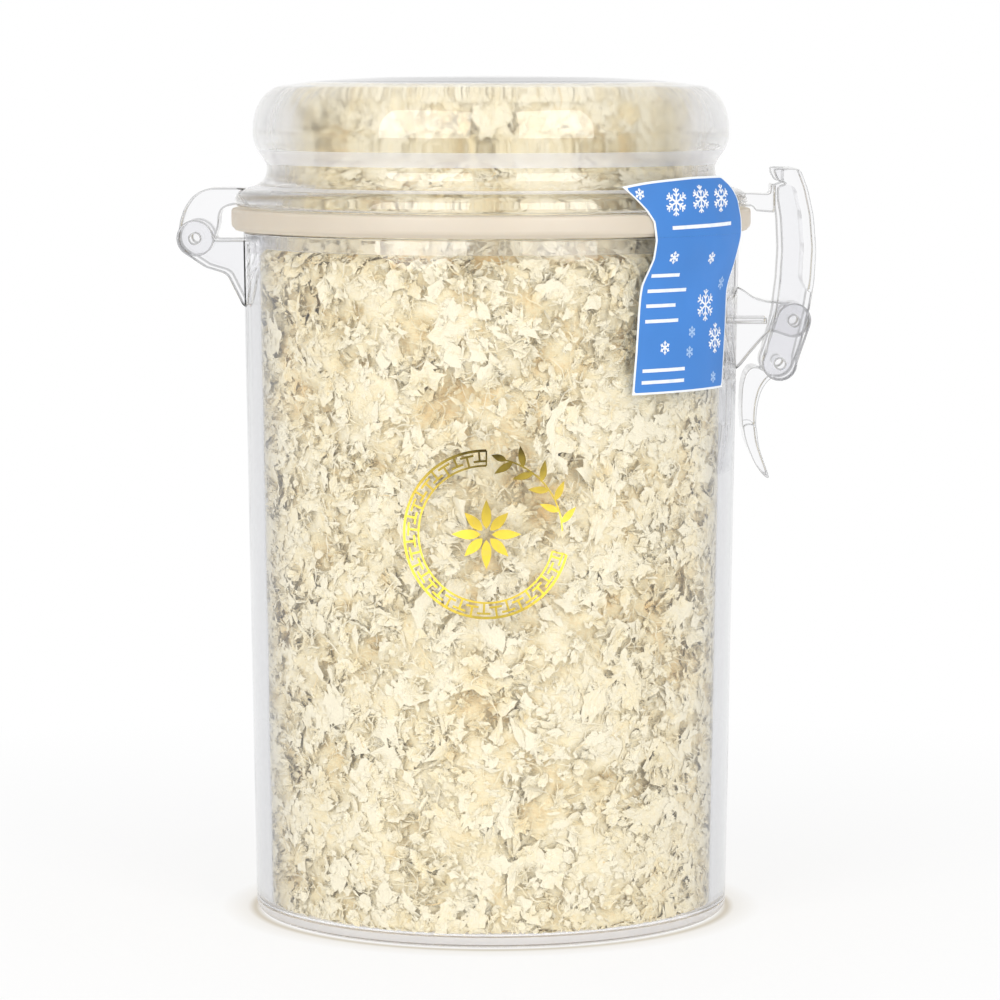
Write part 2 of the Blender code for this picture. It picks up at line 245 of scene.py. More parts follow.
def turned(name, profile, looks=(), steps=192, sharp=None, finish=None):
    """A turned surface: each (radius, z) point of the profile goes once round the Z axis. The
    profile is either a closed loop or runs from the axis to the axis, where it ends in two poles.
    Where finish is given, it holds the material's number for each band between two points."""
    p = np.asarray(profile, float)
    poles = p[0, 0] < 1e-6 and p[-1, 0] < 1e-6
    ring = p[1:-1] if poles else p
    turn = np.arange(steps) * FULL_TURN / steps
    verts = swing(ring[:, :1], ring[:, 1:], turn).reshape(-1, 3)
    faces = grid_faces(len(ring), steps, not poles, True).tolist()
    if poles:
        verts = np.vstack([verts, [[0, 0, p[0, 1]], [0, 0, p[-1, 1]]]])
        faces += pole_faces(len(ring), steps)
    if finish is not None:
        finish = np.repeat(np.concatenate([finish[1:-1], finish[:1], finish[-1:]]), steps)
    return face_out(make_object(name, verts, faces, looks, sharp=sharp, finish=finish))


def slab(name, outline, y_low, y_high, edge=0.4, looks=(), side=PLATE, steps=4, sharp=28):
    """A plate with rounded edges: the closed (x, z) outline is carried along Y, and near both
    faces it draws in along its own normals on a quarter circle of the edge radius. The
    roundings have the finish of an edge, and the rest that of a plate unless side says more."""
    p = np.asarray(outline, float)
    ahead = np.roll(p, -1, 0) - p
    back = p - np.roll(p, 1, 0)
    along = ahead / np.linalg.norm(ahead, axis=1, keepdims=True)
    along = along + back / np.linalg.norm(back, axis=1, keepdims=True)
    along = along / np.linalg.norm(along, axis=1, keepdims=True)
    area = np.sum(p[:, 0] * np.roll(p[:, 1], -1) - np.roll(p[:, 0], -1) * p[:, 1])
    inward = np.stack([-along[:, 1], along[:, 0]], 1) * np.sign(area)
    t = np.linspace(0.0, math.pi / 2, steps + 1)
    drawn = np.concatenate([edge * (1 - np.sin(t)), edge * (1 - np.sin(t[::-1]))])
    level = np.concatenate([y_low + edge * (1 - np.cos(t)), y_high - edge * (1 - np.cos(t[::-1]))])
    flat = p[None] + inward[None] * drawn[:, None, None]
    y = np.broadcast_to(level[:, None], flat.shape[:2])
    verts = np.stack([flat[..., 0], y, flat[..., 1]], -1).reshape(-1, 3)
    faces = grid_faces(len(drawn), len(p), False, True).tolist()
    faces.append(list(range(len(p) - 1, -1, -1)))
    faces.append(list(range(len(verts) - len(p), len(verts))))
    # The roundings get the grey edge finish, which is painted shade.
    finish = np.repeat([PAINTED_EDGE, side, PAINTED_EDGE], [steps * len(p), len(p), steps * len(p)])
    finish = np.concatenate([finish, [PLATE, PLATE]])
    return face_out(make_object(name, verts, faces, looks, sharp=sharp, finish=finish))


# Its side gets the grey edge finish unless side says more: painted shade, also round the holes it
# cuts.
def pin(name, centre, radius, half_length, looks=(), edge=0.3, side=PAINTED_EDGE, steps=40):
    """A round pin along Y with rounded ends."""
    outline = arc(centre, radius, 0, 360, steps)[:-1]
    return slab(name, outline, -half_length, half_length, edge, looks, side)


def pair(name, outline, inner, outer, edge=0.4, looks=()):
    """The same plate on both sides of the middle plane."""
    return [slab(name + "_front", outline, -outer, -inner, edge, looks),
            slab(name + "_back", outline, inner, outer, edge, looks)]


def let_light_in(obj):
    """Clear parts throw no shadow and don't stop scattered light, so the contents are lit as
    brightly as they are behind thin clear plastic."""
    obj.visible_shadow = False
    obj.visible_diffuse = False
    return obj


def fuse(body, tools, operation, sharp=28):
    """Join tools to a body, or cut them from it, and keep the result as the body's own mesh."""
    for tool in tools:
        step = body.modifiers.new(tool.name, "BOOLEAN")
        step.operation = operation
        step.solver = "MANIFOLD"
        step.object = tool
    graph = bpy.context.evaluated_depsgraph_get()
    made = bpy.data.meshes.new_from_object(body.evaluated_get(graph))
    made.name = body.name
    body.modifiers.clear()
    spent = body.data
    body.data = made
    bpy.data.meshes.remove(spent)
    for tool in tools:
        mesh = tool.data
        bpy.data.objects.remove(tool)
        bpy.data.meshes.remove(mesh)
    made.shade_smooth()
    made.set_sharp_from_angle(angle=math.radians(sharp))
    return body


def steady_normals(obj):
    """Let large faces lead the smooth shading, so flat ones stay flat."""
    step = obj.modifiers.new("steady_normals", "WEIGHTED_NORMAL")
    step.keep_sharp = True
    step.weight = 60
    return obj


def cloud(points, scale, seed):
    """Smooth noise from -1 to 1 at points in millimetres: random values on a repeating lattice of
    that scale, blended between the eight nearest by the smoothstep curve."""
    size = 24
    lattice = np.random.default_rng(seed).uniform(-1.0, 1.0, (size, size, size))
    q = np.asarray(points, float) / scale
    cell = np.floor(q).astype(int)
    f = q - cell
    f = f * f * (3 - 2 * f)
    total = 0.0
    for dx in (0, 1):
        for dy in (0, 1):
            for dz in (0, 1):
                corner = (cell + (dx, dy, dz)) % size
                share = ((f[..., 0] if dx else 1 - f[..., 0]) * (f[..., 1] if dy else 1 - f[..., 1])
                         * (f[..., 2] if dz else 1 - f[..., 2]))
                total = total + share * lattice[corner[..., 0], corner[..., 1], corner[..., 2]]
    return total


def set_point_values(obj, name, values):
    """Store one number for each vertex."""
    layer = obj.data.attributes.new(name, "FLOAT", "POINT")
    layer.data.foreach_set("value", np.ascontiguousarray(values, np.float32).ravel())


def set_uv(obj, uv):
    """Give each vertex a place on the UV map."""
    layer = obj.data.uv_layers.new(name="UVMap")
    corners = np.empty(len(obj.data.loops), np.int32)
    obj.data.loops.foreach_get("vertex_index", corners)
    layer.uv.foreach_set("vector", np.ascontiguousarray(uv[corners], np.float32).ravel())


# Materials

CLEAR_NAMES = ("clear_plate", "clear_shaded_edge", "clear_haze", "clear_bore")


class Nodes:
    """A short way to lay out a material's nodes."""

    def __init__(self, name):
        self.material = bpy.data.materials.new(name)
        self.material.use_nodes = True
        self.tree = self.material.node_tree
        self.shader = self.tree.nodes["Principled BSDF"]

    def add(self, kind, inputs=(), **settings):
        """A new node with its settings. An input is a value or the socket it is linked to."""
        node = self.tree.nodes.new(kind)
        for key, value in settings.items():
            setattr(node, key, value)
        for key, value in dict(inputs).items():
            if isinstance(value, bpy.types.NodeSocket):
                self.tree.links.new(value, node.inputs[key])
            else:
                node.inputs[key].default_value = value
        return node

    def set(self, **values):
        """Set the surface shader's inputs, whose names have underscores for spaces here."""
        for key, value in values.items():
            socket = self.shader.inputs[key.replace("_", " ")]
            if isinstance(value, bpy.types.NodeSocket):
                self.tree.links.new(value, socket)
            else:
                socket.default_value = value

    def place(self):
        """Where a point lies on its object."""
        return self.add("ShaderNodeTexCoord").outputs["Object"]

    def noise(self, vector, scale, detail=2.0, roughness=0.5):
        return self.add("ShaderNodeTexNoise", {"Vector": vector, "Scale": scale, "Detail": detail,
                                               "Roughness": roughness}).outputs["Fac"]

    def ramp(self, value, stops):
        """A colour for each value, by stops of (place, colour)."""
        node = self.add("ShaderNodeValToRGB", {"Fac": value})
        while len(node.color_ramp.elements) < len(stops):
            node.color_ramp.elements.new(0.5)
        for element, (place, colour) in zip(node.color_ramp.elements, stops):
            element.position = place
            element.color = (*colour, 1.0)
        return node.outputs["Color"]

    def math(self, operation, a, b=0.0, clamp=False):
        return self.add("ShaderNodeMath", {0: a, 1: b}, operation=operation,
                        use_clamp=clamp).outputs[0]

    def bump(self, height, strength, distance):
        return self.add("ShaderNodeBump", {"Height": height, "Strength": strength,
                                           "Distance": distance}).outputs["Normal"]


def clear_plastic(name, tint, painted_rim_grey, roughness):
    """Polished clear acrylic whose moulded surface wavers a little. Where the surface turns away
    its colour is painted greyer: a little for the longer way through the plastic there, and mostly
    as painted shade for the dark surroundings seen through its edges."""
    n = Nodes(name)
    place = n.place()
    facing = n.add("ShaderNodeLayerWeight", {"Blend": 0.5}).outputs["Facing"]
    # Painted shade: the colour runs from the tint to the rim's grey as the surface faces away.
    n.set(Base_Color=n.ramp(facing, [(0.45, tint), (0.62, painted_rim_grey)]))
    n.set(IOR=1.49, Metallic=0.0, Roughness=roughness)
    n.shader.inputs["Transmission Weight"].default_value = 1.0
    n.set(Normal=n.bump(n.noise(place, 70.0, 0.0), 0.05, 0.0004))
    return n.material


def hazy_plastic(name, tint):
    """The same acrylic where the mould left it satin: part of the light scatters at the surface."""
    n = Nodes(name)
    place = n.place()
    pale = tuple(min(1.0, c * 1.05) for c in tint)
    n.set(Base_Color=n.ramp(n.noise(place, 40.0), [(0.3, tint), (0.7, pale)]))
    n.set(IOR=1.49, Metallic=0.0, Roughness=0.2)
    n.shader.inputs["Transmission Weight"].default_value = 0.5
    return n.material


def drawn_plastic(name, tint):
    """The inside of the lid: fine upright draw marks blur what lies behind it."""
    n = Nodes(name)
    place = n.place()
    upright = n.add("ShaderNodeMapping", {"Vector": place, "Scale": (1.0, 1.0, 0.06)}).outputs[0]
    n.set(Base_Color=(*tint, 1.0), IOR=1.49, Metallic=0.0, Roughness=0.24)
    n.shader.inputs["Specular IOR Level"].default_value = 0.1
    n.shader.inputs["Transmission Weight"].default_value = 1.0
    n.set(Normal=n.bump(n.noise(upright, 260.0, 1.0), 0.25, 0.0006))
    return n.material


def clear_looks(walls="clear_wall"):
    """The clear plastic's finishes, in the order of their numbers."""
    return [bpy.data.materials[name] for name in (walls, *CLEAR_NAMES)]


def milky_silicone(colour):
    """Satin silicone with faint cloudiness."""
    n = Nodes("milky_silicone")
    place = n.place()
    pale = tuple(min(1.0, c * 1.06) for c in colour)
    n.set(Base_Color=n.ramp(n.noise(place, 60.0, 3.0), [(0.3, colour), (0.7, pale)]))
    n.set(Roughness=n.math("MULTIPLY_ADD", n.noise(place, 300.0), 0.2))
    n.tree.nodes["Math"].inputs[2].default_value = 0.32
    n.shader.inputs["Subsurface Weight"].default_value = 0.2
    n.shader.inputs["Subsurface Radius"].default_value = (0.004, 0.003, 0.002)
    n.shader.inputs["Subsurface Scale"].default_value = 0.5
    n.set(Normal=n.bump(n.noise(place, 900.0), 0.15, 0.0001))
    return n.material


def dried_nest(name, ivory, cream, tan):
    """Dried nest: ivory to tan by the tone attribute, which holds the flake's own tone and painted
    shade in the hollows, with fine fibres along it.
    """
    n = Nodes(name)
    place = n.place()
    along = n.add("ShaderNodeUVMap", uv_map="UVMap").outputs["UV"]
    stretch = n.add("ShaderNodeMapping", {"Vector": along, "Scale": (0.35, 2.6, 1.0)}).outputs[0]
    # The tone attribute carries painted shade: points deep in the hollows are painted towards tan.
    tone = n.add("ShaderNodeAttribute", attribute_name="tone").outputs["Fac"]
    fibres = n.noise(stretch, 1.6, 3.0, 0.6)
    patches = n.noise(place, 130.0, 2.0, 0.6)
    grain = n.noise(place, 850.0, 3.0, 0.7)
    mixed = tone
    for pattern, weight in ((patches, 0.7), (fibres, 0.6), (grain, 0.9)):
        mixed = n.math("ADD", mixed, n.math("MULTIPLY", n.math("SUBTRACT", pattern, 0.5), weight))
    n.set(Base_Color=n.ramp(mixed, [(0.1, ivory), (0.5, cream), (1.0, tan)]))
    n.set(Roughness=0.55)
    n.set(Normal=n.bump(n.math("ADD", grain, fibres), 0.6, 0.0005))
    n.shader.inputs["Specular IOR Level"].default_value = 0.12
    return n.material


def printed_film(colour):
    """Glossy printed film with a white cut edge, by its distance from the edge on the UV map."""
    n = Nodes("printed_film")
    edge = n.add("ShaderNodeAttribute", attribute_name="edge").outputs["Fac"]
    place = n.place()
    deep = tuple(c * 0.88 for c in colour)
    ink = n.ramp(n.noise(place, 45.0, 2.0), [(0.35, deep), (0.65, colour)])
    near = n.math("LESS_THAN", edge, 0.45)
    mix = n.add("ShaderNodeMix", {"Factor": near}, data_type="RGBA")
    n.tree.links.new(ink, mix.inputs["A"])
    mix.inputs["B"].default_value = (0.9, 0.93, 0.96, 1.0)
    n.set(Base_Color=mix.outputs["Result"])
    n.set(Roughness=n.math("MULTIPLY_ADD", n.noise(place, 200.0), 0.12))
    n.tree.nodes["Math"].inputs[2].default_value = 0.3
    n.set(Normal=n.bump(n.noise(place, 160.0, 3.0), 0.2, 0.0003))
    return n.material


def print_ink(name, thin, full):
    """Print with a faint screen grain."""
    n = Nodes(name)
    place = n.place()
    n.set(Base_Color=n.ramp(n.noise(place, 500.0), [(0.3, thin), (0.6, full)]))
    n.set(Roughness=0.4)
    return n.material


def gold_foil_with_painted_light(dark, middle, bright):
    """Hot-stamped foil with painted reflection: painted shade makes it dark bronze at the top, a
    painted highlight bright gold at both sides, and it is duller below.
    """
    n = Nodes("gold_foil_with_painted_light")
    place = n.place()
    height = n.add("ShaderNodeSeparateXYZ", {"Vector": place})
    rise = n.add("ShaderNodeMapRange", {"Value": height.outputs["Z"], "From Min": EMBLEM_LOW,
                                        "From Max": EMBLEM_HIGH}).outputs["Result"]
    side = n.math("MULTIPLY", n.math("ABSOLUTE", height.outputs["X"]), 5.0)
    mottle = n.math("MULTIPLY", n.math("SUBTRACT", n.noise(place, 220.0, 3.0), 0.5), 0.3)
    away = n.math("ABSOLUTE", n.math("SUBTRACT", rise, 0.33))
    value = n.math("ADD", n.math("SUBTRACT", away, side), mottle)
    # Painted reflection: the colour follows the height and the side, not the light.
    n.set(Base_Color=n.ramp(value, [(0.12, bright), (0.40, middle), (0.66, dark)]))
    n.set(Metallic=0.85)
    n.set(Roughness=0.28)
    n.set(Normal=n.bump(n.noise(place, 900.0), 0.2, 0.0001))
    return n.material


# Settings a user would change

def length(name, text, value):
    """A length in metres."""
    return bpy.props.FloatProperty(name=name, description=text, default=value, min=0.0,
                                   unit="LENGTH")


def colour(name, text, value):
    """A colour without alpha."""
    return bpy.props.FloatVectorProperty(name=name, description=text, default=value, min=0.0,
                                         max=1.0, size=3, subtype="COLOR")


class ClearPartSettings(bpy.types.PropertyGroup):
    """Sizes and finish of the clear mouldings."""
    wall: length("Wall", "Thickness of the jar's wall", WALL * MM)
    floor: length("Floor", "Thickness of the jar's floor", FLOOR * MM)
    edge: length("Edge", "Rounding of the latch and hinge edges", 0.0004)
    steps: bpy.props.IntProperty(name="Steps", description="Facets round the jar and lid",
                                 default=192, min=24, max=384)
    tint: colour("Tint", "Colour of the walls", (0.985, 0.985, 0.99))
    plate_tint: colour("Plate tint", "Colour of the thick latch and hinge plates",
                       (0.945, 0.945, 0.955))
    # Painted shade: the two rim colours below grey the clear plastic where its surface turns away.
    painted_rim_grey: colour("Rim tint", "Colour where the jar's wall turns away", (0.51, 0.515, 0.53))
    lid_rim_painted_grey: colour("Lid rim tint", "Colour where the lid turns away", (0.94, 0.945, 0.955))
    bore_tint: colour("Bore tint", "Colour of the lid's inside", (0.88, 0.865, 0.83))
    # Painted shade: the grey of the plates' rounded edges, the pin holes and the line round the
    # foot.
    edge_painted_grey: colour("Edge tint", "Colour of the plates' rounded edges", (0.44, 0.44, 0.44))
    haze: colour("Haze", "Colour of the satin bands on the lid", (0.88, 0.885, 0.92))
    roughness: bpy.props.FloatProperty(name="Roughness", description="Surface roughness",
                                       default=0.012, min=0.0, max=1.0, subtype="FACTOR")
    gasket: colour("Gasket", "Colour of the silicone", (0.62, 0.545, 0.44))


class NestSettings(bpy.types.PropertyGroup):
    """Counts, sizes and colours of the nest flakes."""
    flakes: bpy.props.IntProperty(name="Flakes", description="Large flakes", default=1900, min=100)
    shreds: bpy.props.IntProperty(name="Shreds", description="Small flakes", default=8800, min=100)
    crumbs: bpy.props.IntProperty(name="Crumbs", description="Crumbs", default=15500, min=100)
    threads: bpy.props.IntProperty(name="Threads", description="Loose fibres", default=7500,
                                   min=100)
    flake_length: length("Flake length", "Usual length of a large flake", 0.0050)
    shred_length: length("Shred length", "Usual length of a small flake", 0.0036)
    crumb_length: length("Crumb length", "Usual length of a crumb", 0.0019)
    seed: bpy.props.IntProperty(name="Seed", description="Start of the random draws", default=11)
    ivory: colour("Ivory", "Palest flakes", (0.97, 0.895, 0.68))
    cream: colour("Cream", "Middle tone", (0.94, 0.82, 0.53))
    # Tan is also the colour of the painted shade in the hollows.
    tan: colour("Tan", "Darkest pieces", (0.89, 0.64, 0.29))


class PrintSettings(bpy.types.PropertyGroup):
    """Colours of the sticker and the foil emblem."""
    blue: colour("Blue", "Sticker's ground", (0.045, 0.235, 0.68))
    # Painted reflection on the foil: dark at the top is painted shade, the brightest is a painted
    # highlight.
    foil_painted_shade: colour("Dark foil", "Foil at the top", (0.05, 0.035, 0.008))
    foil: colour("Foil", "Foil in the middle", (0.42, 0.31, 0.05))
    foil_painted_highlight: colour("Bright foil", "Foil at its brightest", (0.88, 0.66, 0.08))


class StageSettings(bpy.types.PropertyGroup):
    """Camera and light."""
    distance: length("Distance", "Camera's distance from the jar's axis", 1.0)
    height: length("Height", "Camera's height above the foot", 0.19)
    tilt: bpy.props.FloatProperty(name="Tilt", description="How far the camera looks down",
                                  default=math.radians(5.6), subtype="ANGLE", unit="ROTATION")
    lens: bpy.props.FloatProperty(name="Lens", description="Focal length in millimetres",
                                  default=160.96, min=10.0, unit="CAMERA")
    softbox: bpy.props.FloatProperty(name="Softboxes", description="Power of each front softbox",
                                     default=5.2, min=0.0, unit="POWER")
    shine: bpy.props.FloatProperty(name="Shine", description="Power of the softboxes' highlights",
                                   default=18.0, min=0.0, unit="POWER")


# Jar, gasket and lid

def jar_profile(wall, floor):
    """The jar's (radius, z) section, from the axis under the foot to the axis on the floor."""
    foot = wall_radius(4.0)
    bore = wall_radius(7.0) - wall
    line = [(0.0, 0.55), (44.6, 0.55), (45.6, 0.0), (foot, 0.0), (RIM_R, RIM_Z),
            (RIM_R - wall, RIM_Z), (bore, floor), (0.0, floor)]
    return soften(line, [0, 0.5, 0.6, 2.4, 0.6, 0.4, 1.4, 0], 8, closed=False)


def jar_finish(profile):
    """The finish of each band of the jar: satin at the foot but for a thin grey line of painted
    shade round it, and polished elsewhere."""
    z = (profile[1:, 1] + profile[:-1, 1]) / 2
    painted_shade_line = (z > FOOT_SHADE_LINE_Z[0]) & (z < FOOT_SHADE_LINE_Z[1])
    return np.where(painted_shade_line, PAINTED_EDGE, np.where(z < SATIN_Z, HAZE, WALLS))


def ear_outline():
    """A knuckle round the hinge pin, with a gusset that runs down the wall."""
    x, z = HINGE
    root = -wall_radius(z) + 2.0
    line = np.vstack([
        [(root, z - 0.4), (x + 4.4, z - 0.4)],
        arc(HINGE, HINGE_KNUCKLE_R, 0.0, 240.0, 24),
        [(x + 2.4, 144.5), (x + 6.4, 143.3), (x + 7.3, 142.6), (-55.1, 136.2), (root, 135.2)],
    ])
    return soften(line, 0.5, 3)


def bracket_outline():
    """A web from the wall out to the latch's fixed pivot."""
    line = np.vstack([
        [(53.2, 140.6), (56.0, 139.6), (58.6, 137.7), (61.6, 136.8)],
        arc(BRACKET_PIVOT, LATCH_KNUCKLE_R, 100.0, -100.0, 20),
        [(62.6, 130.2), (60.2, 127.8), (57.8, 125.0), (55.6, 122.2), (53.2, 120.6)],
    ])
    return soften(line, 0.9, 4)


class NESTJAR_OT_jar(bpy.types.Operator):
    """Make the clear jar with its hinge ears and latch bracket"""
    bl_idname = "nest_jar.jar"
    bl_label = "Jar"

    def execute(self, context):
        parts = context.scene.nest_clear
        clear_plastic("clear_wall", parts.tint, parts.painted_rim_grey, parts.roughness)
        clear_plastic("clear_lid", parts.tint, parts.lid_rim_painted_grey, parts.roughness)
        clear_plastic("clear_plate", parts.plate_tint, parts.lid_rim_painted_grey, parts.roughness)
        # A grey material that paints shade on rounded edges.
        clear_plastic("clear_shaded_edge", parts.edge_painted_grey, parts.edge_painted_grey, parts.roughness)
        hazy_plastic("clear_haze", tuple(parts.haze))
        drawn_plastic("clear_bore", parts.bore_tint)
        looks = clear_looks()
        profile = hold_sides(jar_profile(parts.wall / MM, parts.floor / MM))
        jar = turned("jar_shell", profile, looks, parts.steps, finish=jar_finish(profile))
        rib = [(53.2, 131.9), (61.4, 131.9), (61.4, 133.3), (53.2, 133.3)]
        edge = parts.edge / MM
        fuse(jar, [
            slab("bracket_rib", soften(rib, 0.3, 3), -6.6, 6.6, 0.3, looks),
            slab("bracket_web", bracket_outline(), -3.2, 3.2, edge, looks),
            *pair("hinge_ear", ear_outline(), 5.6, 9.0, edge, looks),
        ], "UNION")
        fuse(jar, [pin("hinge_hole", HINGE, HOLE_R, 12.0, looks),
                   pin("bracket_hole", BRACKET_PIVOT, HOLE_R, 6.0, looks)], "DIFFERENCE")
        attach(let_light_in(steady_normals(jar)), "jar")
        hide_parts("jar_body")
        return {"FINISHED"}


def lid_profile():
    """The lid's (radius, z) section: crown, dome, neck, flange and skirt, then its bore."""
    crown = [(0.0, LID_TOP_Z), (24.0, LID_TOP_Z - 0.4), (CROWN_R - 6.0, CROWN_Z + 0.9)]
    t = np.radians(np.linspace(0.0, 90.0, 11))
    shoulder = np.stack([CROWN_R + (DOME_R - CROWN_R) * np.sin(t),
                         DOME_Z + (CROWN_Z - DOME_Z) * np.cos(t)], 1)
    outside = np.vstack([crown, shoulder, [
        (DOME_R, 173.0), (52.5, 171.0), (50.5, 168.6), (49.8, 166.4), (50.4, 164.0), (52.4, 162.5),
        (55.0, 161.9), (56.55, 161.25), (FLANGE_R, 159.7), (FLANGE_R, FLANGE_LOW_Z),
        (SKIRT_R, FLANGE_LOW_Z), (SKIRT_R, SKIRT_LOW_Z), (SKIRT_BORE_R, SKIRT_LOW_Z),
        (47.6, 158.5), (46.4, 163.5), (46.3, 167.2), (47.6, 170.4), (49.3, 173.6), (49.4, 176.4),
        (48.3, 179.8), (46.4, 182.0), (43.6, 183.6), (40.0, 184.4), (24.0, 184.7), (0.0, 184.8)]])
    reach = np.full(len(outside), 2.5)
    reach[-15:-11] = 0.4
    reach[0] = reach[-1] = 0.0
    return soften(outside, reach, 5, closed=False)


def lid_finish(profile):
    """The finish of each band of the lid: hazy on the waist under the dome and in the flange's
    root, drawn in the bore up to its top, and polished elsewhere."""
    z = (profile[1:, 1] + profile[:-1, 1]) / 2
    bore = np.arange(len(z)) > np.argmin(profile[:, 1])
    polished = bore & (z > DRAWN_TOP_Z)
    waist = (z > WAIST_LOW_Z) & (z < WAIST_HIGH_Z)
    root = (z > FLANGE_TOP_Z + 0.15) & (z < FLANGE_TOP_Z + 0.9)
    return np.where(polished, WALLS, np.where(bore, BORE, np.where(waist | root, HAZE, WALLS)))


def lid_arm_outline():
    """The tongue that hooks over from the flange to the hinge pin."""
    line = np.vstack([
        [(-53.0, 161.9), (-56.5, 162.1), (-62.4, 162.1), (-64.6, 161.4), (-66.6, 160.0),
         (-68.2, 157.6), (-69.2, 154.6)],
        arc(HINGE, HINGE_KNUCKLE_R, 180.0, 360.0, 20),
        [(-60.5, 153.4), (-60.4, 156.2), (-59.6, 157.7), (-57.4, 158.3), (-53.0, 158.3)],
    ])
    return soften(line, 1.2, 4)


def catch_outline():
    """The catch that stands out of the flange, with its lip turned up."""
    line = [(53.0, 158.0), (58.2, 158.0), (58.9, 156.9), (62.9, 156.6), (63.3, 157.0),
            (63.3, 162.6), (62.9, 163.0), (62.3, 163.0), (62.1, 161.0), (61.4, 160.7),
            (57.6, 160.9), (53.0, 160.9)]
    return soften(line, 0.35, 4)


class NESTJAR_OT_lid(bpy.types.Operator):
    """Make the domed lid with its hinge tongue and catch"""
    bl_idname = "nest_jar.lid"
    bl_label = "Lid"

    def execute(self, context):
        parts = context.scene.nest_clear
        looks = clear_looks("clear_lid")
        profile = hold_sides(lid_profile())
        lid = turned("lid_shell", profile, looks, parts.steps, finish=lid_finish(profile))
        fuse(lid, [slab("lid_arm", lid_arm_outline(), -5.2, 5.2, parts.edge / MM, looks),
                   slab("lid_catch", catch_outline(), -5.0, 5.0, 0.25, looks)], "UNION")
        fuse(lid, [pin("arm_hole", HINGE, HOLE_R, 8.0, looks)], "DIFFERENCE")
        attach(let_light_in(steady_normals(lid)), "lid")
        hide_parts("lid")
        return {"FINISHED"}


class NESTJAR_OT_gasket(bpy.types.Operator):
    """Make the silicone ring between lid and jar"""
    bl_idname = "nest_jar.gasket"
    bl_label = "Gasket"

    def execute(self, context):
        parts = context.scene.nest_clear
        low, high, outer, bore = GASKET_LOW_Z, GASKET_TOP_Z, GASKET_R, GASKET_BORE_R
        line = [(bore, low), (bore, high), (outer, high), (outer, low + 0.9),
                (outer - 0.7, low + 0.3), (outer - 0.8, low)]
        ring = turned("gasket_ring", soften(line, [0.3, 0.3, 0.8, 0.8, 0.3, 0.3], 5),
                      [milky_silicone(parts.gasket)], parts.steps)
        ring.visible_shadow = False
        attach(ring, "lid")
        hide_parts("gasket")
        return {"FINISHED"}


# Latch and pins

TAIL_LINE = [
    (61.9, 121.0), (58.6, 122.6), (56.9, 121.4), (56.0, 118.5), (55.75, 113.8), (55.9, 109.8),
    (56.6, 106.1), (57.6, 103.4), (58.9, 100.5), (60.6, 98.3), (61.7, 97.6), (61.9, 98.2),
    (60.6, 101.6), (59.5, 105.0), (59.0, 109.8), (59.3, 113.8), (60.2, 117.2), (61.9, 119.6),
    (63.4, 120.2)]
LINK_OUTER = [(68.4, 166.4), (70.1, 161.9), (71.4, 155.9), (72.0, 148.5), (71.6, 141.4),
              (70.6, 135.3), (69.4, 130.2)]
LINK_INNER = [(61.4, 128.2), (62.5, 132.4), (63.1, 135.3), (63.9, 141.4), (64.3, 148.5),
              (64.0, 155.3), (63.3, 159.9), (63.3, 162.6)]
LINK_NOSE = [(65.3, 163.2), (64.5, 163.25), (63.5, 163.6), (62.7, 165.1), (62.5, 166.2),
             (63.0, 166.6)]
# Pins: node, body, centre and half length
PINS = (("hinge_pin", "jar", HINGE, 9.0), ("bracket_pin", "jar", BRACKET_PIVOT, 6.8),
        ("link_pin", "latch_handle", LINK_PIVOT, 10.0))


class NESTJAR_OT_handle(bpy.types.Operator):
    """Make the latch handle with its curved thumb tail"""
    bl_idname = "nest_jar.handle"
    bl_label = "Latch handle"

    def execute(self, context):
        edge = context.scene.nest_clear.edge / MM
        looks = clear_looks()
        lean = math.degrees(math.atan2(BRACKET_PIVOT[1] - LINK_PIVOT[1],
                                       BRACKET_PIVOT[0] - LINK_PIVOT[0]))
        cheek = np.vstack([arc(LINK_PIVOT, LATCH_KNUCKLE_R, lean + 90, lean + 270, 20),
                           arc(BRACKET_PIVOT, LATCH_KNUCKLE_R, lean - 90, lean + 90, 20)])
        tail = np.array(TAIL_LINE)
        handle = slab("latch_handle_shell", soften(tail, 1.5, 4), -7.0, 7.0, 0.2, looks)
        pad = soften(tail[tail[:, 1] < 113.5], 1.5, 4)
        fuse(handle, [slab("thumb_pad", pad, -9.4, 9.4, 0.2, looks),
                      *pair("handle_cheek", cheek, 3.6, 7.0, edge, looks)], "UNION")
        fuse(handle, [pin("handle_hole", BRACKET_PIVOT, HOLE_R, 9.0, looks),
                      pin("handle_link_hole", LINK_PIVOT, HOLE_R, 9.0, looks)], "DIFFERENCE")
        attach(let_light_in(steady_normals(handle)), "latch_handle")
        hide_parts("latch_handle")
        return {"FINISHED"}


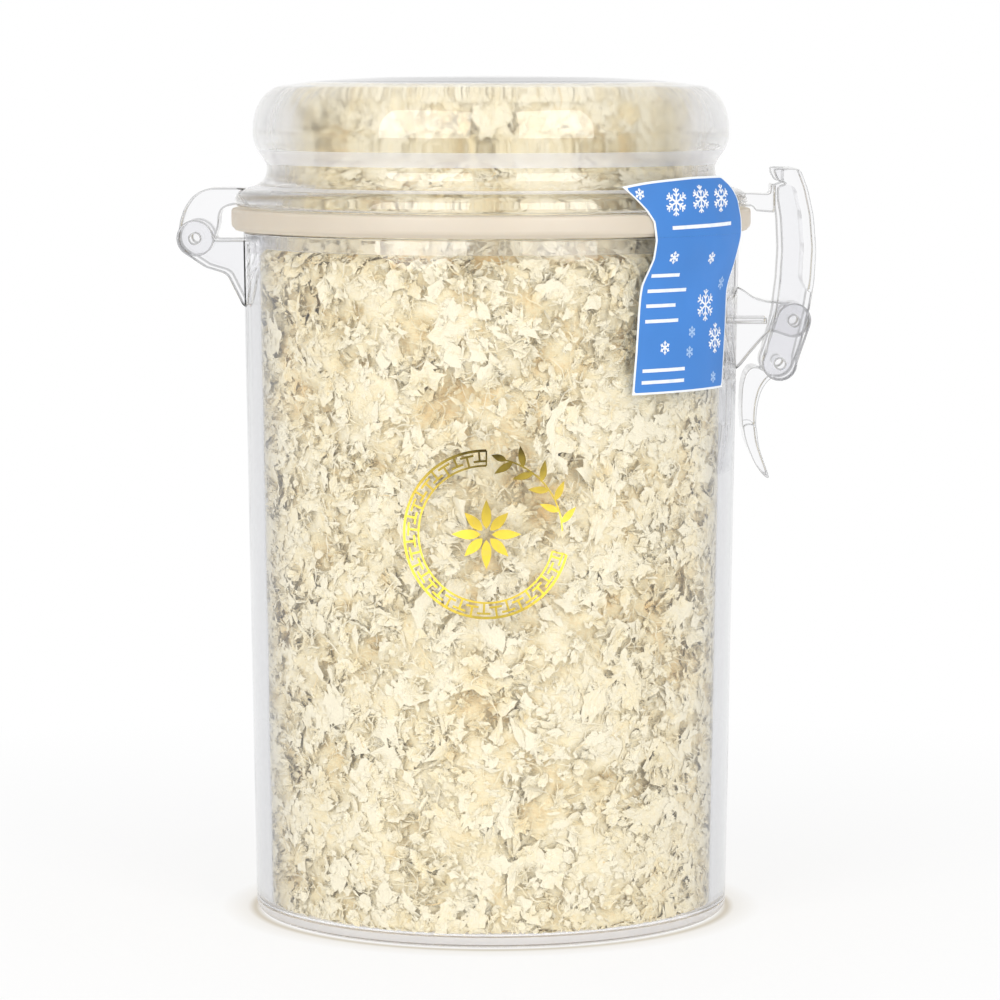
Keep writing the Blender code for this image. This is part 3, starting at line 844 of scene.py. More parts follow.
class NESTJAR_OT_link(bpy.types.Operator):
    """Make the bowed link that leans over the lid's catch"""
    bl_idname = "nest_jar.link"
    bl_label = "Latch link"

    def execute(self, context):
        edge = context.scene.nest_clear.edge / MM
        looks = clear_looks()
        rail = np.vstack([LINK_OUTER, arc(LINK_PIVOT, LATCH_KNUCKLE_R, 10.0, -215.0, 24),
                          LINK_INNER, LINK_NOSE])
        outer = np.array([p for p in LINK_OUTER if p[1] > 139.0])
        behind = outer[:0:-1] + (-2.6, 0.4)
        front = np.vstack([outer, [(71.2, 139.0), (70.4, 139.0)], behind,
                           [(64.9, 163.2), (64.9, 166.5)]])
        head = np.vstack([[(66.2, 166.5)], LINK_NOSE[::-1], [(66.2, 163.25)]])
        link = slab("latch_link_shell", soften(front, 1.0, 4), -10.0, 10.0, 0.22, looks)
        fuse(link, [*pair("link_rail", soften(rail, 1.0, 4), 7.4, 10.0, edge, looks),
                    *pair("link_horn", soften(head, 0.5, 3), 5.6, 9.8, 0.25, looks)], "UNION")
        fuse(link, [pin("link_hole", LINK_PIVOT, HOLE_R, 12.0, looks)], "DIFFERENCE")
        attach(let_light_in(steady_normals(link)), "latch_link")
        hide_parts("latch_link")
        return {"FINISHED"}


class NESTJAR_OT_pins(bpy.types.Operator):
    """Make the three pins of hinge and latch"""
    bl_idname = "nest_jar.pins"
    bl_label = "Pins"

    def execute(self, context):
        for node, body, centre, half in PINS:
            rod = pin(node + "_rod", centre, PIN_R, half, clear_looks(), side=PLATE)
            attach(let_light_in(steady_normals(rod)), body)
            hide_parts(node)
        return {"FINISHED"}


# Nest flakes

CORE_GRID = (262, 352)
# Kinds of flake: points across and along each one, how far it tilts, and how many meshes share them
FLAKE_KINDS = {"flake": ((7, 9), 0.40, 1), "shred": ((5, 6), 0.60, 2), "crumb": ((3, 4), 0.8, 1)}
THREAD_POINTS = 7


def nest_section():
    """The contents' outside: (radius, z) points from the floor up to the heaped top."""
    foot = FLOOR + 0.12
    bore_low = wall_radius(foot) - WALL - 0.12
    bore_top = wall_radius(147.0) - WALL - 0.12
    line = [(0.0, foot), (44.0, foot), (bore_low - 1.4, foot), (bore_low - 0.3, foot + 0.4),
            (bore_low, foot + 1.5), (bore_top, 147.2), (bore_top - 1.0, 148.4), (47.2, 148.7),
            (46.6, 151.0), (45.6, 160.0), (44.6, 166.0), (43.4, 172.0), (43.4, 181.0),
            (43.0, 182.6), (40.6, 183.6), (34.0, 184.0), (0.0, 184.2)]
    return np.array(line)


def section_limit(z, depth):
    """The radius of the section's side at height z, less a depth."""
    side = nest_section()[3:-2]
    order = np.argsort(side[:, 1], kind="stable")
    return np.interp(z, side[order, 1], side[order, 0]) - depth


def top_limit(r, depth):
    """The height of the section's heaped top at radius r, less a depth."""
    top = nest_section()[:-6:-1]
    return np.interp(r, top[:, 0], top[:, 1]) - depth


def press_inside(points, depth):
    """Move points that lie outside the section back onto it, each flake to a depth of its own."""
    r = np.hypot(points[..., 0], points[..., 1])
    z = np.clip(points[..., 2], nest_section()[0, 1] + depth, top_limit(r, depth))
    shrink = np.minimum(1.0, section_limit(z, depth) / np.maximum(r, 1e-6))
    return np.stack([points[..., 0] * shrink, points[..., 1] * shrink, z], -1)


def depth_inside(points):
    """How deep points lie under the section, measured sideways or from the top."""
    r = np.hypot(points[..., 0], points[..., 1])
    z = points[..., 2]
    return np.clip(np.minimum(section_limit(z, 0.0) - r, nest_section()[-1, 1] - z), 0.0, 12.0)


def hollows(points):
    """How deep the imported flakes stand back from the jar: three octaves of noise, with the part
    below zero pressed flat on the wall."""
    deep = 0.9 + 1.8 * cloud(points, 8.5, 31) + 1.25 * cloud(points, 3.6, 32)
    share = 1.0 - 0.85 * np.clip((points[..., 2] - 176.0) / 5.0, 0.0, 1.0)
    share = share * (1.0 - 0.6 * np.clip((9.0 - points[..., 2]) / 5.0, 0.0, 1.0))
    return np.maximum(deep + 0.7 * cloud(points, 1.9, 33), 0.0) * share


def section_points(count):
    """Points evenly along the section, with the outward normal at each."""
    section = soften(nest_section(), 1.2, 4, closed=False)
    lengths = np.concatenate([[0.0], np.cumsum(np.hypot(*np.diff(section, axis=0).T))])
    at = np.linspace(0.0, lengths[-1], count)
    r = np.interp(at, lengths, section[:, 0])
    z = np.interp(at, lengths, section[:, 1])
    slope = np.gradient(np.stack([r, z], 1), axis=0)
    slope = slope / np.linalg.norm(slope, axis=1, keepdims=True)
    return np.stack([r, z], 1), np.stack([slope[:, 1], -slope[:, 0]], 1)


def scatter(rng, count, low, high):
    """Places and outward directions spread evenly by area over the contents' outside. Each place
    is sunk by the hollows, less a random depth from low to high."""
    points, normals = section_points(2000)
    area = np.cumsum(points[:, 0])
    which = np.searchsorted(area, rng.uniform(0.0, area[-1], count)).clip(0, 1999)
    turn = rng.uniform(0.0, FULL_TURN, count)
    place = swing(*points[which].T, turn)
    normal = swing(*normals[which].T, turn)
    deep = np.maximum(hollows(place) - rng.uniform(low, high, count), 0.0)
    return place - normal * deep[:, None], normal


def unit(v):
    """Vectors of length one."""
    return v / np.linalg.norm(v, axis=-1, keepdims=True)


def random_frame(rng, normal, tilt):
    """Directions along, across and out of each flake, tilted at random from its normal."""
    facing = unit(normal + rng.normal(0.0, 1.0, normal.shape) * tilt)
    along = unit(np.cross(facing, rng.normal(0.0, 1.0, normal.shape)))
    return along, np.cross(facing, along), facing


def lay_out(place, frame, parts):
    """Carry each flake's own x, y and z to its place, along the directions of its frame."""
    points = place[:, None, None]
    for direction, part in zip(frame, parts):
        points = points + direction[:, None, None] * part[..., None]
    return points


def flake_grid(rng, place, normal, size, aspect, tilt, shape):
    """Ragged, curled sheets as one array (flake, row, column, xyz). On its own plane a flake is
    x = u * L(v), y = v * W(u), z = curl * (x^2 + y^2) + ripples, where L and W are half an
    ellipse's chords with a random length for each row and column, so its edges are torn."""
    count = len(place)
    rows, columns = shape
    frame = random_frame(rng, normal, tilt)
    u = np.linspace(-1.0, 1.0, columns)[None, None, :]
    v = np.linspace(-1.0, 1.0, rows)[None, :, None]
    half = (size / 2)[:, None, None]
    tear_l = 1.0 + rng.uniform(-0.45, 0.35, (count, rows, 1))
    tear_w = 1.0 + rng.uniform(-0.40, 0.40, (count, 1, columns))
    x = u * half * np.sqrt(1.0 - 0.55 * v * v) * tear_l
    y = v * half * aspect[:, None, None] * np.sqrt(1.0 - 0.72 * u * u) * tear_w
    x = x + rng.normal(0.0, 0.05, (count, rows, columns)) * half
    y = y + rng.normal(0.0, 0.05, (count, rows, columns)) * half
    bend = rng.normal(0.0, 0.055, (count, 1, 1))
    twist = rng.normal(0.0, 0.03, (count, 1, 1))
    ripple = rng.normal(0.0, 0.085, (count, rows, columns)) * np.sqrt(half)
    z = bend * (x * x + 0.5 * y * y) + twist * x * y + ripple
    return lay_out(place, frame, (x, y, z)), np.stack([x + 0 * z, y + 0 * z], -1)


def flake_mesh(name, points, uv, tone, look):
    """One joined mesh from an array of flakes."""
    count, rows, columns = points.shape[:3]
    each = grid_faces(rows, columns)
    faces = (each[None] + (np.arange(count) * rows * columns)[:, None, None]).reshape(-1, 4)
    obj = make_object(name, points.reshape(-1, 3), faces.tolist(), [look], smooth=False)
    set_point_values(obj, "tone", tone)
    set_uv(obj, uv.reshape(-1, 2))
    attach(obj, "jar")
    return obj


def tone_and_painted_shade(rng, points):
    """0 is ivory and 1 is tan: by flake and by clump, plus painted shade that turns each point
    towards tan by how deep it lies.
    """
    own = rng.beta(1.5, 3.5, len(points))[:, None, None]
    clump = 0.18 * cloud(points, 11.0, 3)
    return np.clip(own * 0.45 + clump + 0.15 * depth_inside(points), 0.0, 1.0)


class NESTJAR_OT_nest(bpy.types.Operator):
    """Fill the jar with crushed nest: a lumpy core, flakes, shreds, crumbs and loose threads"""
    bl_idname = "nest_jar.nest"
    bl_label = "Nest flakes"

    def execute(self, context):
        nest = context.scene.nest_flakes
        look = dried_nest("nest_flake", tuple(nest.ivory), tuple(nest.cream), tuple(nest.tan))
        rng = np.random.default_rng(nest.seed)
        self.make_core(look)
        for kind, (shape, tilt, parts) in FLAKE_KINDS.items():
            count = getattr(nest, kind + "s")
            size = getattr(nest, kind + "_length") / MM
            self.make_flakes(rng, f"nest_{kind}s", count, size, shape, tilt, parts, look)
        self.make_threads(rng, nest.threads, look)
        return {"FINISHED"}

    def make_core(self, look):
        """The section turned once round, sunk along its normals by the hollows."""
        rows, columns = CORE_GRID
        points, normals = section_points(rows)
        turn = np.arange(columns) * FULL_TURN / columns
        grid = swing(points[1:-1, :1], points[1:-1, 1:], turn)
        out = swing(normals[1:-1, :1], normals[1:-1, 1:], turn)
        grid = press_inside(grid - out * (hollows(grid) + 0.35)[..., None], 0.3)
        low = [[0.0, 0.0, points[0, 1] + 1.0]]
        top = [[0.0, 0.0, points[-1, 1] - 1.0]]
        verts = np.vstack([grid.reshape(-1, 3), low, top])
        faces = grid_faces(rows - 2, columns, False, True).tolist() + pole_faces(rows - 2, columns)
        core = face_out(make_object("nest_core", verts, faces, [look]))
        # Painted shade: deeper points of the core are painted nearer to tan.
        tone = 0.28 + 0.13 * depth_inside(verts) + 0.15 * cloud(verts, 6.0, 8)
        set_point_values(core, "tone", tone)
        set_uv(core, verts[:, [0, 2]] + 0.8 * cloud(verts, 2.0, 9)[:, None])
        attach(core, "jar")
        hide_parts("nest_fill")

    def make_flakes(self, rng, name, count, size, shape, tilt, parts, look):
        """Flakes in a few joined meshes, each under the limit for one piece."""
        for part in range(parts):
            n = count // parts
            place, normal = scatter(rng, n, -0.1, 0.9)
            sizes = size * rng.lognormal(0.0, 0.36, n)
            aspect = rng.uniform(0.3, 0.8, n)
            points, uv = flake_grid(rng, place, normal, sizes, aspect, tilt, shape)
            points = press_inside(points, rng.uniform(0.0, 0.3, n)[:, None, None])
            tone = tone_and_painted_shade(rng, points)
            uv = uv + rng.uniform(-50.0, 50.0, (n, 1, 1, 2))
            flake_mesh(f"{name}_{part + 1}", points, uv, tone, look)

    def make_threads(self, rng, count, look):
        """Thin curved ribbons: a row of points along a random arc, with a width of 0.1 to 0.35 mm
        that narrows to both ends."""
        place, normal = scatter(rng, count, 0.2, 1.2)
        frame = random_frame(rng, normal, 0.3)
        t = np.linspace(-1.0, 1.0, THREAD_POINTS)[None, None, :]
        half = rng.lognormal(0.75, 0.4, (count, 1, 1))
        wide = rng.uniform(0.05, 0.17, (count, 1, 1)) * np.sqrt(1.05 - t * t)
        side = np.array([-1.0, 1.0])[None, :, None]
        bow = rng.normal(0.0, 0.35, (count, 1, 1)) * half
        x = t * half + 0 * side
        wave = 0.1 * half * np.sin(3.0 * t + rng.uniform(0, 6, (count, 1, 1)))
        y = side * wide + bow * t * t + wave
        z = rng.normal(0.0, 0.2, (count, 1, 1)) * half * t * t + 0 * side
        points = lay_out(place, frame, (x, y, z))
        points = press_inside(points, rng.uniform(0.0, 0.2, count)[:, None, None])
        tone = np.broadcast_to(rng.beta(1.5, 4.0, count)[:, None, None], points.shape[:3])
        flake_mesh("nest_threads", points, np.stack([x + 0 * y, y], -1), tone, look)


# Sticker

# Heights where it swells out over the rim, leans in above it, and starts to ripple, each with the
# height that this takes
SWELL_Z, SWELL_RISE = 139.0, 14.5
LEAN_Z, LEAN_RISE, LEAN = 160.5, 5.0, 1.5
LOOSE_Z, LOOSE_RISE, RIPPLE = 141.0, 8.0, 0.10
SEAM_GAP = 0.008

# Print: snowflakes as (degrees round, height, radius), and bars as (height, first and last degree)
LARGE_SNOW = ((57.5, 137.4, 3.5), (62.5, 130.0, 3.3))
SMALL_SNOW = ((43.3, 148.2, 1.35), (56.7, 147.7, 1.35), (42.8, 128.8, 1.5))
PALE_SNOW = ((64.6, 141.9, 1.5), (52.1, 131.8, 1.3), (51.3, 127.5, 1.3), (61.9, 121.5, 1.3))
CORNER_SNOW = ((33.0, 162.0, 1.2),)
TOP_SNOW = ((43.0, 160.1, 3.0), (51.0, 160.6, 3.0), (59.0, 160.6, 3.0))
BARS = ((144.4, 37.6, 46.2), (141.1, 37.2, 49.4), (137.9, 37.0, 46.0), (134.6, 36.8, 47.0),
        (124.0, 36.2, 49.6), (121.5, 36.0, 49.4))
TOP_BAR = ((41.8, 154.6), (64.0, 155.0))
TWO_BARBS = (0.4, 0.7)
ONE_BARB = (0.55,)


def sticker_spot(turn, z, lift=0.0):
    """A point on the sticker's face: turn in degrees from the front, height and lift in mm. It lies
    on the wall low down, swells out over the rim and gasket, and leans in again above them."""
    rise = np.clip((z - SWELL_Z) / SWELL_RISE, 0.0, 1.0)
    rise = rise * rise * (3 - 2 * rise)
    wall = wall_radius(np.minimum(z, RIM_Z)) + 0.06
    radius = wall + (GASKET_R + 0.12 - wall) * rise
    lean = np.clip((z - LEAN_Z) / LEAN_RISE, 0.0, 1.0)
    radius = radius - LEAN * lean * lean
    loose = np.clip((z - LOOSE_Z) / LOOSE_RISE, 0.0, 1.0)
    ripple = RIPPLE * loose * (1 + np.sin(turn * 0.42 + z * 0.55))
    return swing(radius + ripple + lift, z, np.radians(turn))


def sticker_top(share):
    """The height of the sticker's top edge, by the share of its width from the left."""
    wave = 0.12 * np.sin(share * 11.0) * share * (1 - share)
    return STICKER_TOP_Z - 1.8 * (1 - share) ** 3 + wave


def film(name, z_low, z_high, rows, columns, body, node, look):
    """One half of the sticker: a grid over its width and height, a second one behind it, and a
    strip round the edge between them."""
    s = np.linspace(0.0, 1.0, columns)[None, :]
    t = np.linspace(0.0, 1.0, rows)[:, None]
    high = z_high if z_high < STICKER_TOP_Z else sticker_top(s)
    z = z_low + (high - z_low) * t
    left = read_off(STICKER_LEFT, z)
    right = read_off(STICKER_RIGHT, z)
    turn = left + (right - left) * s
    outer = sticker_spot(turn, z, FILM_THICKNESS)
    points = np.concatenate([outer.reshape(-1, 3), sticker_spot(turn, z).reshape(-1, 3)])
    number = np.arange(rows * columns).reshape(rows, columns)
    rim = np.concatenate([number[0], number[1:, -1], number[-1, -2::-1], number[-2:0:-1, 0]])
    after = np.roll(rim, -1)
    face = grid_faces(rows, columns)
    cut = np.stack([after, rim, rim + number.size, after + number.size], 1)
    faces = np.vstack([face, face[:, ::-1] + number.size, cut])
    obj = face_out(make_object(name, points, faces.tolist(), [look], sharp=30))
    wide = np.radians(right - left) * STICKER_FLAT_R
    near = np.minimum(np.minimum(s, 1 - s) * wide, z - STICKER_BOTTOM_Z)
    near = np.maximum(np.minimum(near, sticker_top(s) - z), 0.0)
    set_point_values(obj, "edge", np.tile(near.ravel(), 2))
    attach(obj, body)
    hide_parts(node)
    return obj


def strip(path, width):
    """Quads along a flat path: each point moves half the width to both sides."""
    p = np.asarray(path, float)
    along = np.gradient(p, axis=0)
    along = along / np.linalg.norm(along, axis=1, keepdims=True)
    side = np.stack([-along[:, 1], along[:, 0]], 1) * width / 2
    verts = np.stack([p - side, p + side], 1).reshape(-1, 2)
    return verts, grid_faces(len(p), 2)


def heading(degrees):
    """A flat vector of length one."""
    a = math.radians(degrees)
    return np.array([math.cos(a), math.sin(a)])


def straight(a, b, steps=2):
    """Points evenly from a to b."""
    return np.linspace(a, b, steps)


def gather(strokes):
    """Join strokes of (points, faces) into one pair of arrays."""
    verts, faces, start = [], [], 0
    for v, f in strokes:
        verts.append(v)
        faces.append(np.asarray(f) + start)
        start += len(v)
    return np.vstack(verts), np.vstack(faces)


def snowflake(x, y, radius, width, barbs):
    """Six arms from the middle, each with pairs of slanted barbs."""
    middle = np.array([x, y])
    strokes = []
    for turn in range(90, 450, 60):
        arm = heading(turn) * radius
        strokes.append(strip(straight(middle, middle + arm, 3), width))
        for share in barbs:
            base = middle + arm * share
            for lean in (-50, 50):
                end = base + heading(turn + lean) * radius * 0.34
                strokes.append(strip(straight(base, end), width * 0.85))
    return strokes


def snowfall(rows, width, barbs):
    """Snowflakes at (degrees round, height, radius)."""
    strokes = []
    for turn, z, radius in rows:
        strokes += snowflake(turn * PER_DEGREE, z, radius, width, barbs)
    return strokes


def put_on_sticker(name, strokes, body, look):
    """Lay flat strokes on the sticker's face. Their x is the way round and their y the height."""
    verts, faces = gather(strokes)
    turn = np.degrees(verts[:, 0] / STICKER_FLAT_R)
    obj = make_object(name, sticker_spot(turn, verts[:, 1], 0.15), faces.tolist(), [look])
    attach(obj, body)
    return obj


class NESTJAR_OT_sticker(bpy.types.Operator):
    """Make the blue seal sticker in its two halves, with snowflakes and plain bars"""
    bl_idname = "nest_jar.sticker"
    bl_label = "Sticker"

    def execute(self, context):
        blue = tuple(context.scene.nest_print.blue)
        look = printed_film(blue)
        ink = print_ink("white_ink", (0.8, 0.86, 0.95), (0.95, 0.96, 0.98))
        pale_ink = print_ink("pale_ink", (0.30, 0.50, 0.86), (0.40, 0.60, 0.90))
        seam = STICKER_SEAM_Z
        film("sticker_lower_film", STICKER_BOTTOM_Z, seam - SEAM_GAP, 60, 36, "jar",
             "seal_sticker_lower", look)
        film("sticker_upper_film", seam + SEAM_GAP, STICKER_TOP_Z, 30, 36, "lid",
             "seal_sticker_upper", look)
        low = snowfall(LARGE_SNOW, 0.42, TWO_BARBS) + snowfall(SMALL_SNOW, 0.34, ONE_BARB)
        for z, start, end in BARS:
            low.append(strip(straight((start * PER_DEGREE, z), (end * PER_DEGREE, z), 9), 0.75))
        put_on_sticker("sticker_lower_print", low, "jar", ink)
        put_on_sticker("sticker_pale_print", snowfall(PALE_SNOW, 0.34, ONE_BARB), "jar", pale_ink)
        high = snowfall(CORNER_SNOW, 0.3, ONE_BARB) + snowfall(TOP_SNOW, 0.42, TWO_BARBS)
        ends = [(turn * PER_DEGREE, z) for turn, z in TOP_BAR]
        high.append(strip(straight(*ends, 15), 0.8))
        put_on_sticker("sticker_upper_print", high, "lid", ink)
        return {"FINISHED"}


# Emblem

EMBLEM_X = -0.9
EMBLEM_Z = 89.9
EMBLEM_R = 18.1
# Heights in metres over which the foil's painted reflection runs
EMBLEM_LOW, EMBLEM_HIGH = 0.072, 0.108
RING_WIDTH = 3.4


def ring_arc(radius, start, end, width):
    """A stroke along a circle, from one angle to the other in degrees."""
    steps = max(3, int(abs(end - start) / 3) + 2)
    return strip(arc((0.0, 0.0), radius, start, end, steps), width)


def meander_ring():
    """The traditional key border: two circles, with T shapes that reach in from each in turn."""
    outer = EMBLEM_R - 0.17
    inner = EMBLEM_R - RING_WIDTH
    start, end, keys = 90.0, 345.0, 14
    period = (end - start) / keys
    strokes = [ring_arc(outer, start, end, 0.58), ring_arc(inner, start, end, 0.42)]
    bar_low = inner + RING_WIDTH * 0.29
    bar_high = outer - RING_WIDTH * 0.27
    for k in range(keys):
        a = start + (k + 0.28) * period
        b = start + (k + 0.78) * period
        for turn, root, bar in ((a, outer, bar_low), (b, inner, bar_high)):
            spoke = heading(turn)
            strokes.append(strip(straight(spoke * root, spoke * bar, 3), 0.46))
            strokes.append(ring_arc(bar, turn - 0.27 * period, turn + 0.27 * period, 0.46))
    for turn in (start, end):
        spoke = heading(turn)
        strokes.append(strip(straight(spoke * inner, spoke * outer, 3), 0.34))
    return strokes


def leaf(base, angle, size, width):
    """A pointed leaf: its half width is a sine over its length."""
    t = np.linspace(0.0, 1.0, 9)
    along = heading(angle)
    side = np.array([-along[1], along[0]])
    middle = np.asarray(base) + along * (t * size)[:, None]
    half = side * (np.sin(math.pi * t ** 0.8) * width / 2 + 0.03)[:, None]
    return np.stack([middle - half, middle + half], 1).reshape(-1, 2), grid_faces(9, 2)


def leaf_ornament():
    """A rosette of leaves in the middle, and a sprig along the ring's open stretch."""
    strokes = []
    for k in range(8):
        a = 45.0 * k
        size = 6.6 if k % 2 else 7.4
        strokes.append(leaf(1.2 * heading(a), a, size - 1.2, 2.1))
    stem_r = EMBLEM_R - 0.5 * RING_WIDTH
    strokes.append(ring_arc(stem_r, 2.0, 76.0, 0.34))
    for k, a in enumerate(np.linspace(8.0, 70.0, 8)):
        spot = arc((0.0, 0.0), stem_r, a, a, 1)[0]
        lean = 52.0 if k % 2 else -52.0
        strokes.append(leaf(spot, a + 90.0 + lean, 4.6, 1.5))
    strokes.append(leaf(arc((0.0, 0.0), stem_r, 75.0, 75.0, 1)[0], 160.0, 3.4, 1.4))
    return strokes


class NESTJAR_OT_emblem(bpy.types.Operator):
    """Stamp the gold foil emblem on the front of the jar"""
    bl_idname = "nest_jar.emblem"
    bl_label = "Foil emblem"

    def execute(self, context):
        shades = context.scene.nest_print
        look = gold_foil_with_painted_light(tuple(shades.foil_painted_shade), tuple(shades.foil), tuple(shades.foil_painted_highlight))
        verts, faces = gather(meander_ring() + leaf_ornament())
        z = EMBLEM_Z + verts[:, 1]
        radius = wall_radius(z) + 0.03
        turn = (EMBLEM_X + verts[:, 0]) / radius
        foil = make_object("emblem_foil", swing(radius, z, turn), faces.tolist(), [look])
        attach(foil, "jar")
        return {"FINISHED"}


# Stage

# Softboxes in metres: name, place, the point it faces, width, height and share of the power. The
# first pair lights surfaces, and the second only shows as highlights on glossy ones
SOFTBOXES = (("softbox_left", (-0.75, -1.05, 0.62), (0, 0, 0.12), 0.62, 1.12, 1.0),
             ("softbox_right", (0.72, -1.15, 0.62), (0, 0, 0.12), 0.5, 1.12, 1.0))
HIGHLIGHTS = (("shine_left", (-0.68, -1.107, 0.65), (0, 0, 0.65), 1.05, 1.19, 1.0),
              ("shine_right", (0.67, -1.114, 0.65), (0, 0, 0.65), 0.84, 1.19, 0.8))

# Many bounces for the light inside the clear plastic, and few between the flakes
BOUNCES = {"max_bounces": 16, "diffuse_bounces": 2, "glossy_bounces": 12,
           "transmission_bounces": 12}
CAMERA_X = 0.002

# Floor: its rings' radii, where its own glow starts and is full, and stops of (decimetres from the
# axis, colour) that paint a soft brown contact shadow round the foot
FLOOR_RINGS = (0.2, 0.6, 2.0, 9.0)
FLOOR_GLOW = {"From Min": 0.10, "From Max": 0.3, "To Min": 0.75, "To Max": 1.0}
CONTACT_SHADE = [(0.515, (1.0, 1.0, 1.0)), (0.533, (0.66, 0.60, 0.50)), (0.55, (0.92, 0.90, 0.87)),
                 (0.61, (1.0, 1.0, 1.0))]

# Surround: stops by how far a direction points to either side, and the strength that scattered
# light meets it with
SURROUND = [(0.35, (1.0, 1.0, 1.0)), (0.95, (0.72, 0.72, 0.75))]
SCATTERED = 0.78


def softbox(name, place, aim, width, height, power, glossy):
    """A rectangular light that faces a point. It either lights surfaces or only shows as a
    highlight on glossy ones."""
    data = bpy.data.lights.new(name, "AREA")
    data.shape = "RECTANGLE"
    data.size = width
    data.size_y = height
    data.energy = power
    data.color = (1.0, 0.99, 0.97)
    lamp = bpy.data.objects.new(name, data)
    lamp.location = place
    direction = np.asarray(aim, float) - np.asarray(place, float)
    yaw = math.atan2(direction[0], -direction[1])
    pitch = math.atan2(direction[2], math.hypot(direction[0], direction[1]))
    lamp.rotation_euler = (math.pi / 2 + pitch, 0.0, math.pi + yaw)
    lamp.visible_camera = False
    lamp.visible_diffuse = not glossy
    lamp.visible_glossy = glossy
    lamp.visible_transmission = False
    bpy.context.scene.collection.objects.link(lamp)
    return lamp


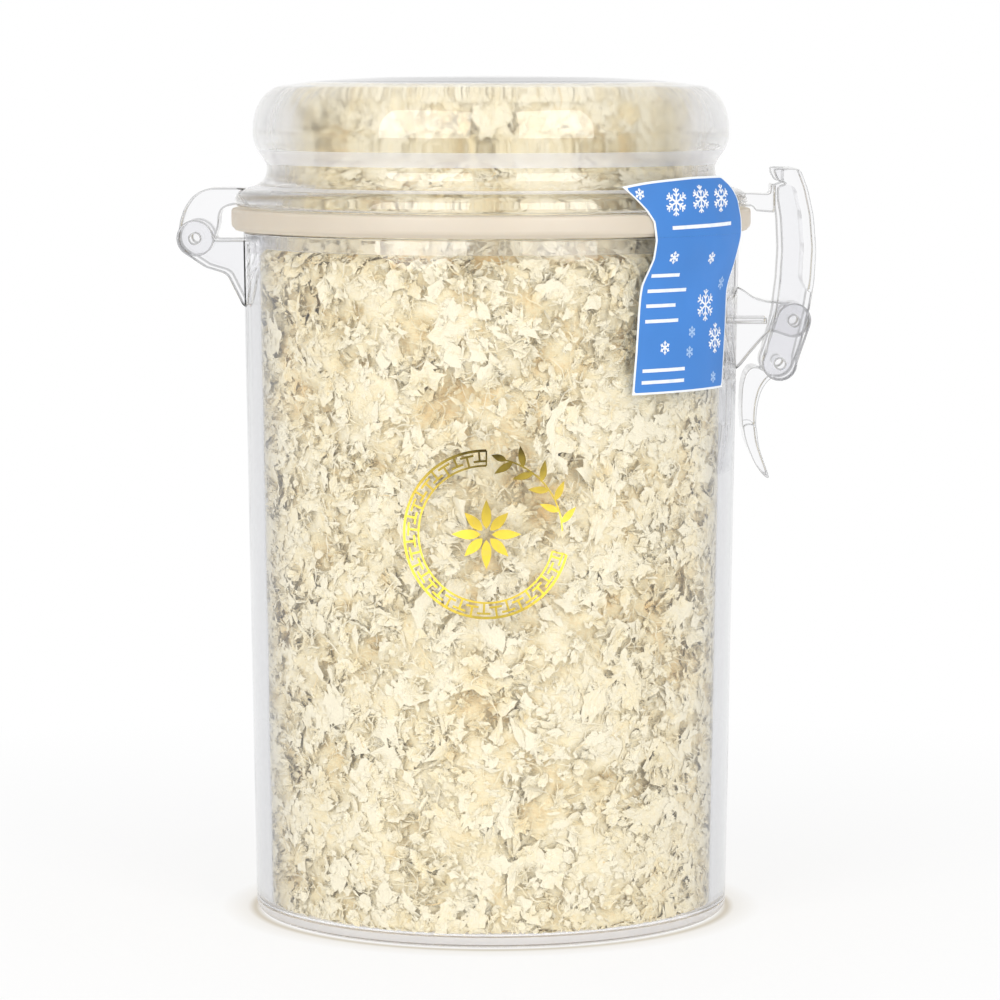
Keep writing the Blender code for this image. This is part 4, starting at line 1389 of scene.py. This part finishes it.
class NESTJAR_OT_stage(bpy.types.Operator):
    """Set the pale floor, the soft light and the camera"""
    bl_idname = "nest_jar.stage"
    bl_label = "Stage"

    def execute(self, context):
        settings = context.scene.nest_stage
        self.make_floor()
        self.make_world(context.scene)
        for boxes, power, glossy in ((SOFTBOXES, settings.softbox, False),
                                     (HIGHLIGHTS, settings.shine, True)):
            for name, place, aim, width, height, share in boxes:
                softbox(name, place, aim, width, height, power * share, glossy)
        data = bpy.data.cameras.new("camera")
        data.sensor_width = 36.0
        data.lens = settings.lens
        data.clip_start = 0.05
        data.clip_end = 50.0
        camera = bpy.data.objects.new("camera", data)
        camera.location = (CAMERA_X, -settings.distance, settings.height)
        camera.rotation_euler = (math.pi / 2 - settings.tilt, 0.0, 0.0)
        context.scene.collection.objects.link(camera)
        context.scene.camera = camera
        context.scene.view_settings.view_transform = "Standard"
        for name, count in BOUNCES.items():
            setattr(context.scene.cycles, name, count)
        return {"FINISHED"}

    def make_floor(self):
        """A flat disc, pale by the jar and turning to the backdrop's white further off, with a
        painted soft brown contact shadow round the foot."""
        steps = 64
        turn = np.arange(steps) * FULL_TURN / steps
        radii = np.array(FLOOR_RINGS)[:, None] / MM
        grid = np.stack([radii * np.sin(turn), radii * np.cos(turn), 0 * radii * turn], -1)
        verts = np.vstack([grid.reshape(-1, 3), [[0.0, 0.0, 0.0]]])
        faces = grid_faces(len(radii), steps, False, True).tolist()
        j = np.arange(steps)
        faces += np.stack([j * 0 + len(verts) - 1, j, (j + 1) % steps], 1).tolist()
        n = Nodes("pale_floor")
        place = n.place()
        away = n.add("ShaderNodeVectorMath", {0: place}, operation="LENGTH").outputs["Value"]
        far = n.add("ShaderNodeMapRange", {"Value": away, **FLOOR_GLOW}).outputs["Result"]
        # Painted contact shadow: a brown ring round the foot, in both the floor's colour and its
        # glow.
        shade = n.ramp(n.math("MULTIPLY", away, 10.0), CONTACT_SHADE)
        n.set(Base_Color=shade, Roughness=0.6)
        n.shader.inputs["Specular IOR Level"].default_value = 0.1
        glow = n.add("ShaderNodeEmission", {"Color": shade, "Strength": 1.0})
        mix = n.add("ShaderNodeMixShader", {0: far, 1: n.shader.outputs[0], 2: glow.outputs[0]})
        n.tree.links.new(mix.outputs[0], n.tree.nodes["Material Output"].inputs["Surface"])
        floor = make_object("floor", verts, faces, [n.material], smooth=False)
        if floor.data.polygons[0].normal.z < 0:
            floor.data.flip_normals()

    def make_world(self, scene):
        """A white surround that falls off to a cool grey at both sides, as dark cards would give.
        The camera sees it white, and scattered light meets it dimmer."""
        world = bpy.data.worlds.new("studio")
        world.use_nodes = True
        scene.world = world
        tree = world.node_tree
        ground = tree.nodes["Background"]
        direction = tree.nodes.new("ShaderNodeTexCoord")
        split = tree.nodes.new("ShaderNodeSeparateXYZ")
        tree.links.new(direction.outputs["Generated"], split.inputs[0])
        side = tree.nodes.new("ShaderNodeMath")
        side.operation = "ABSOLUTE"
        tree.links.new(split.outputs["X"], side.inputs[0])
        ramp = tree.nodes.new("ShaderNodeValToRGB")
        tree.links.new(side.outputs[0], ramp.inputs[0])
        ramp.color_ramp.interpolation = "EASE"
        for stop, (place, shade) in zip(ramp.color_ramp.elements, SURROUND):
            stop.position = place
            stop.color = (*shade, 1.0)
        path = tree.nodes.new("ShaderNodeLightPath")
        mix = tree.nodes.new("ShaderNodeMix")
        mix.data_type = "RGBA"
        tree.links.new(path.outputs["Is Camera Ray"], mix.inputs["Factor"])
        tree.links.new(ramp.outputs["Color"], mix.inputs["A"])
        mix.inputs["B"].default_value = (1.0, 1.0, 1.0, 1.0)
        tree.links.new(mix.outputs["Result"], ground.inputs["Color"])
        dim = tree.nodes.new("ShaderNodeMapRange")
        tree.links.new(path.outputs["Diffuse Depth"], dim.inputs["Value"])
        dim.inputs["To Min"].default_value = 1.0
        dim.inputs["To Max"].default_value = SCATTERED
        tree.links.new(dim.outputs["Result"], ground.inputs["Strength"])


OPERATORS = (NESTJAR_OT_jar, NESTJAR_OT_lid, NESTJAR_OT_gasket, NESTJAR_OT_handle, NESTJAR_OT_link,
             NESTJAR_OT_pins, NESTJAR_OT_nest, NESTJAR_OT_sticker, NESTJAR_OT_emblem,
             NESTJAR_OT_stage)
SETTINGS = {"nest_clear": ClearPartSettings, "nest_flakes": NestSettings,
            "nest_print": PrintSettings, "nest_stage": StageSettings}


class NESTJAR_PT_panel(bpy.types.Panel):
    """Lists the jar's settings and steps"""
    bl_label = "Nest Jar"
    bl_idname = "NESTJAR_PT_panel"
    bl_space_type = "VIEW_3D"
    bl_region_type = "UI"
    bl_category = "Nest Jar"

    def draw(self, context):
        for name, group in SETTINGS.items():
            box = self.layout.box()
            for key in group.__annotations__:
                box.prop(getattr(context.scene, name), key)
        for step in OPERATORS:
            self.layout.operator(step.bl_idname)


def register():
    for group in (*SETTINGS.values(), *OPERATORS, NESTJAR_PT_panel):
        bpy.utils.register_class(group)
    for name, group in SETTINGS.items():
        setattr(bpy.types.Scene, name, bpy.props.PointerProperty(type=group))


def unregister():
    for name in SETTINGS:
        delattr(bpy.types.Scene, name)
    for group in (NESTJAR_PT_panel, *reversed(OPERATORS), *reversed(list(SETTINGS.values()))):
        bpy.utils.unregister_class(group)


def main():
    register()
    for step in OPERATORS:
        group, name = step.bl_idname.split(".")
        getattr(getattr(bpy.ops, group), name)()


if __name__ == "__main__":
    main()
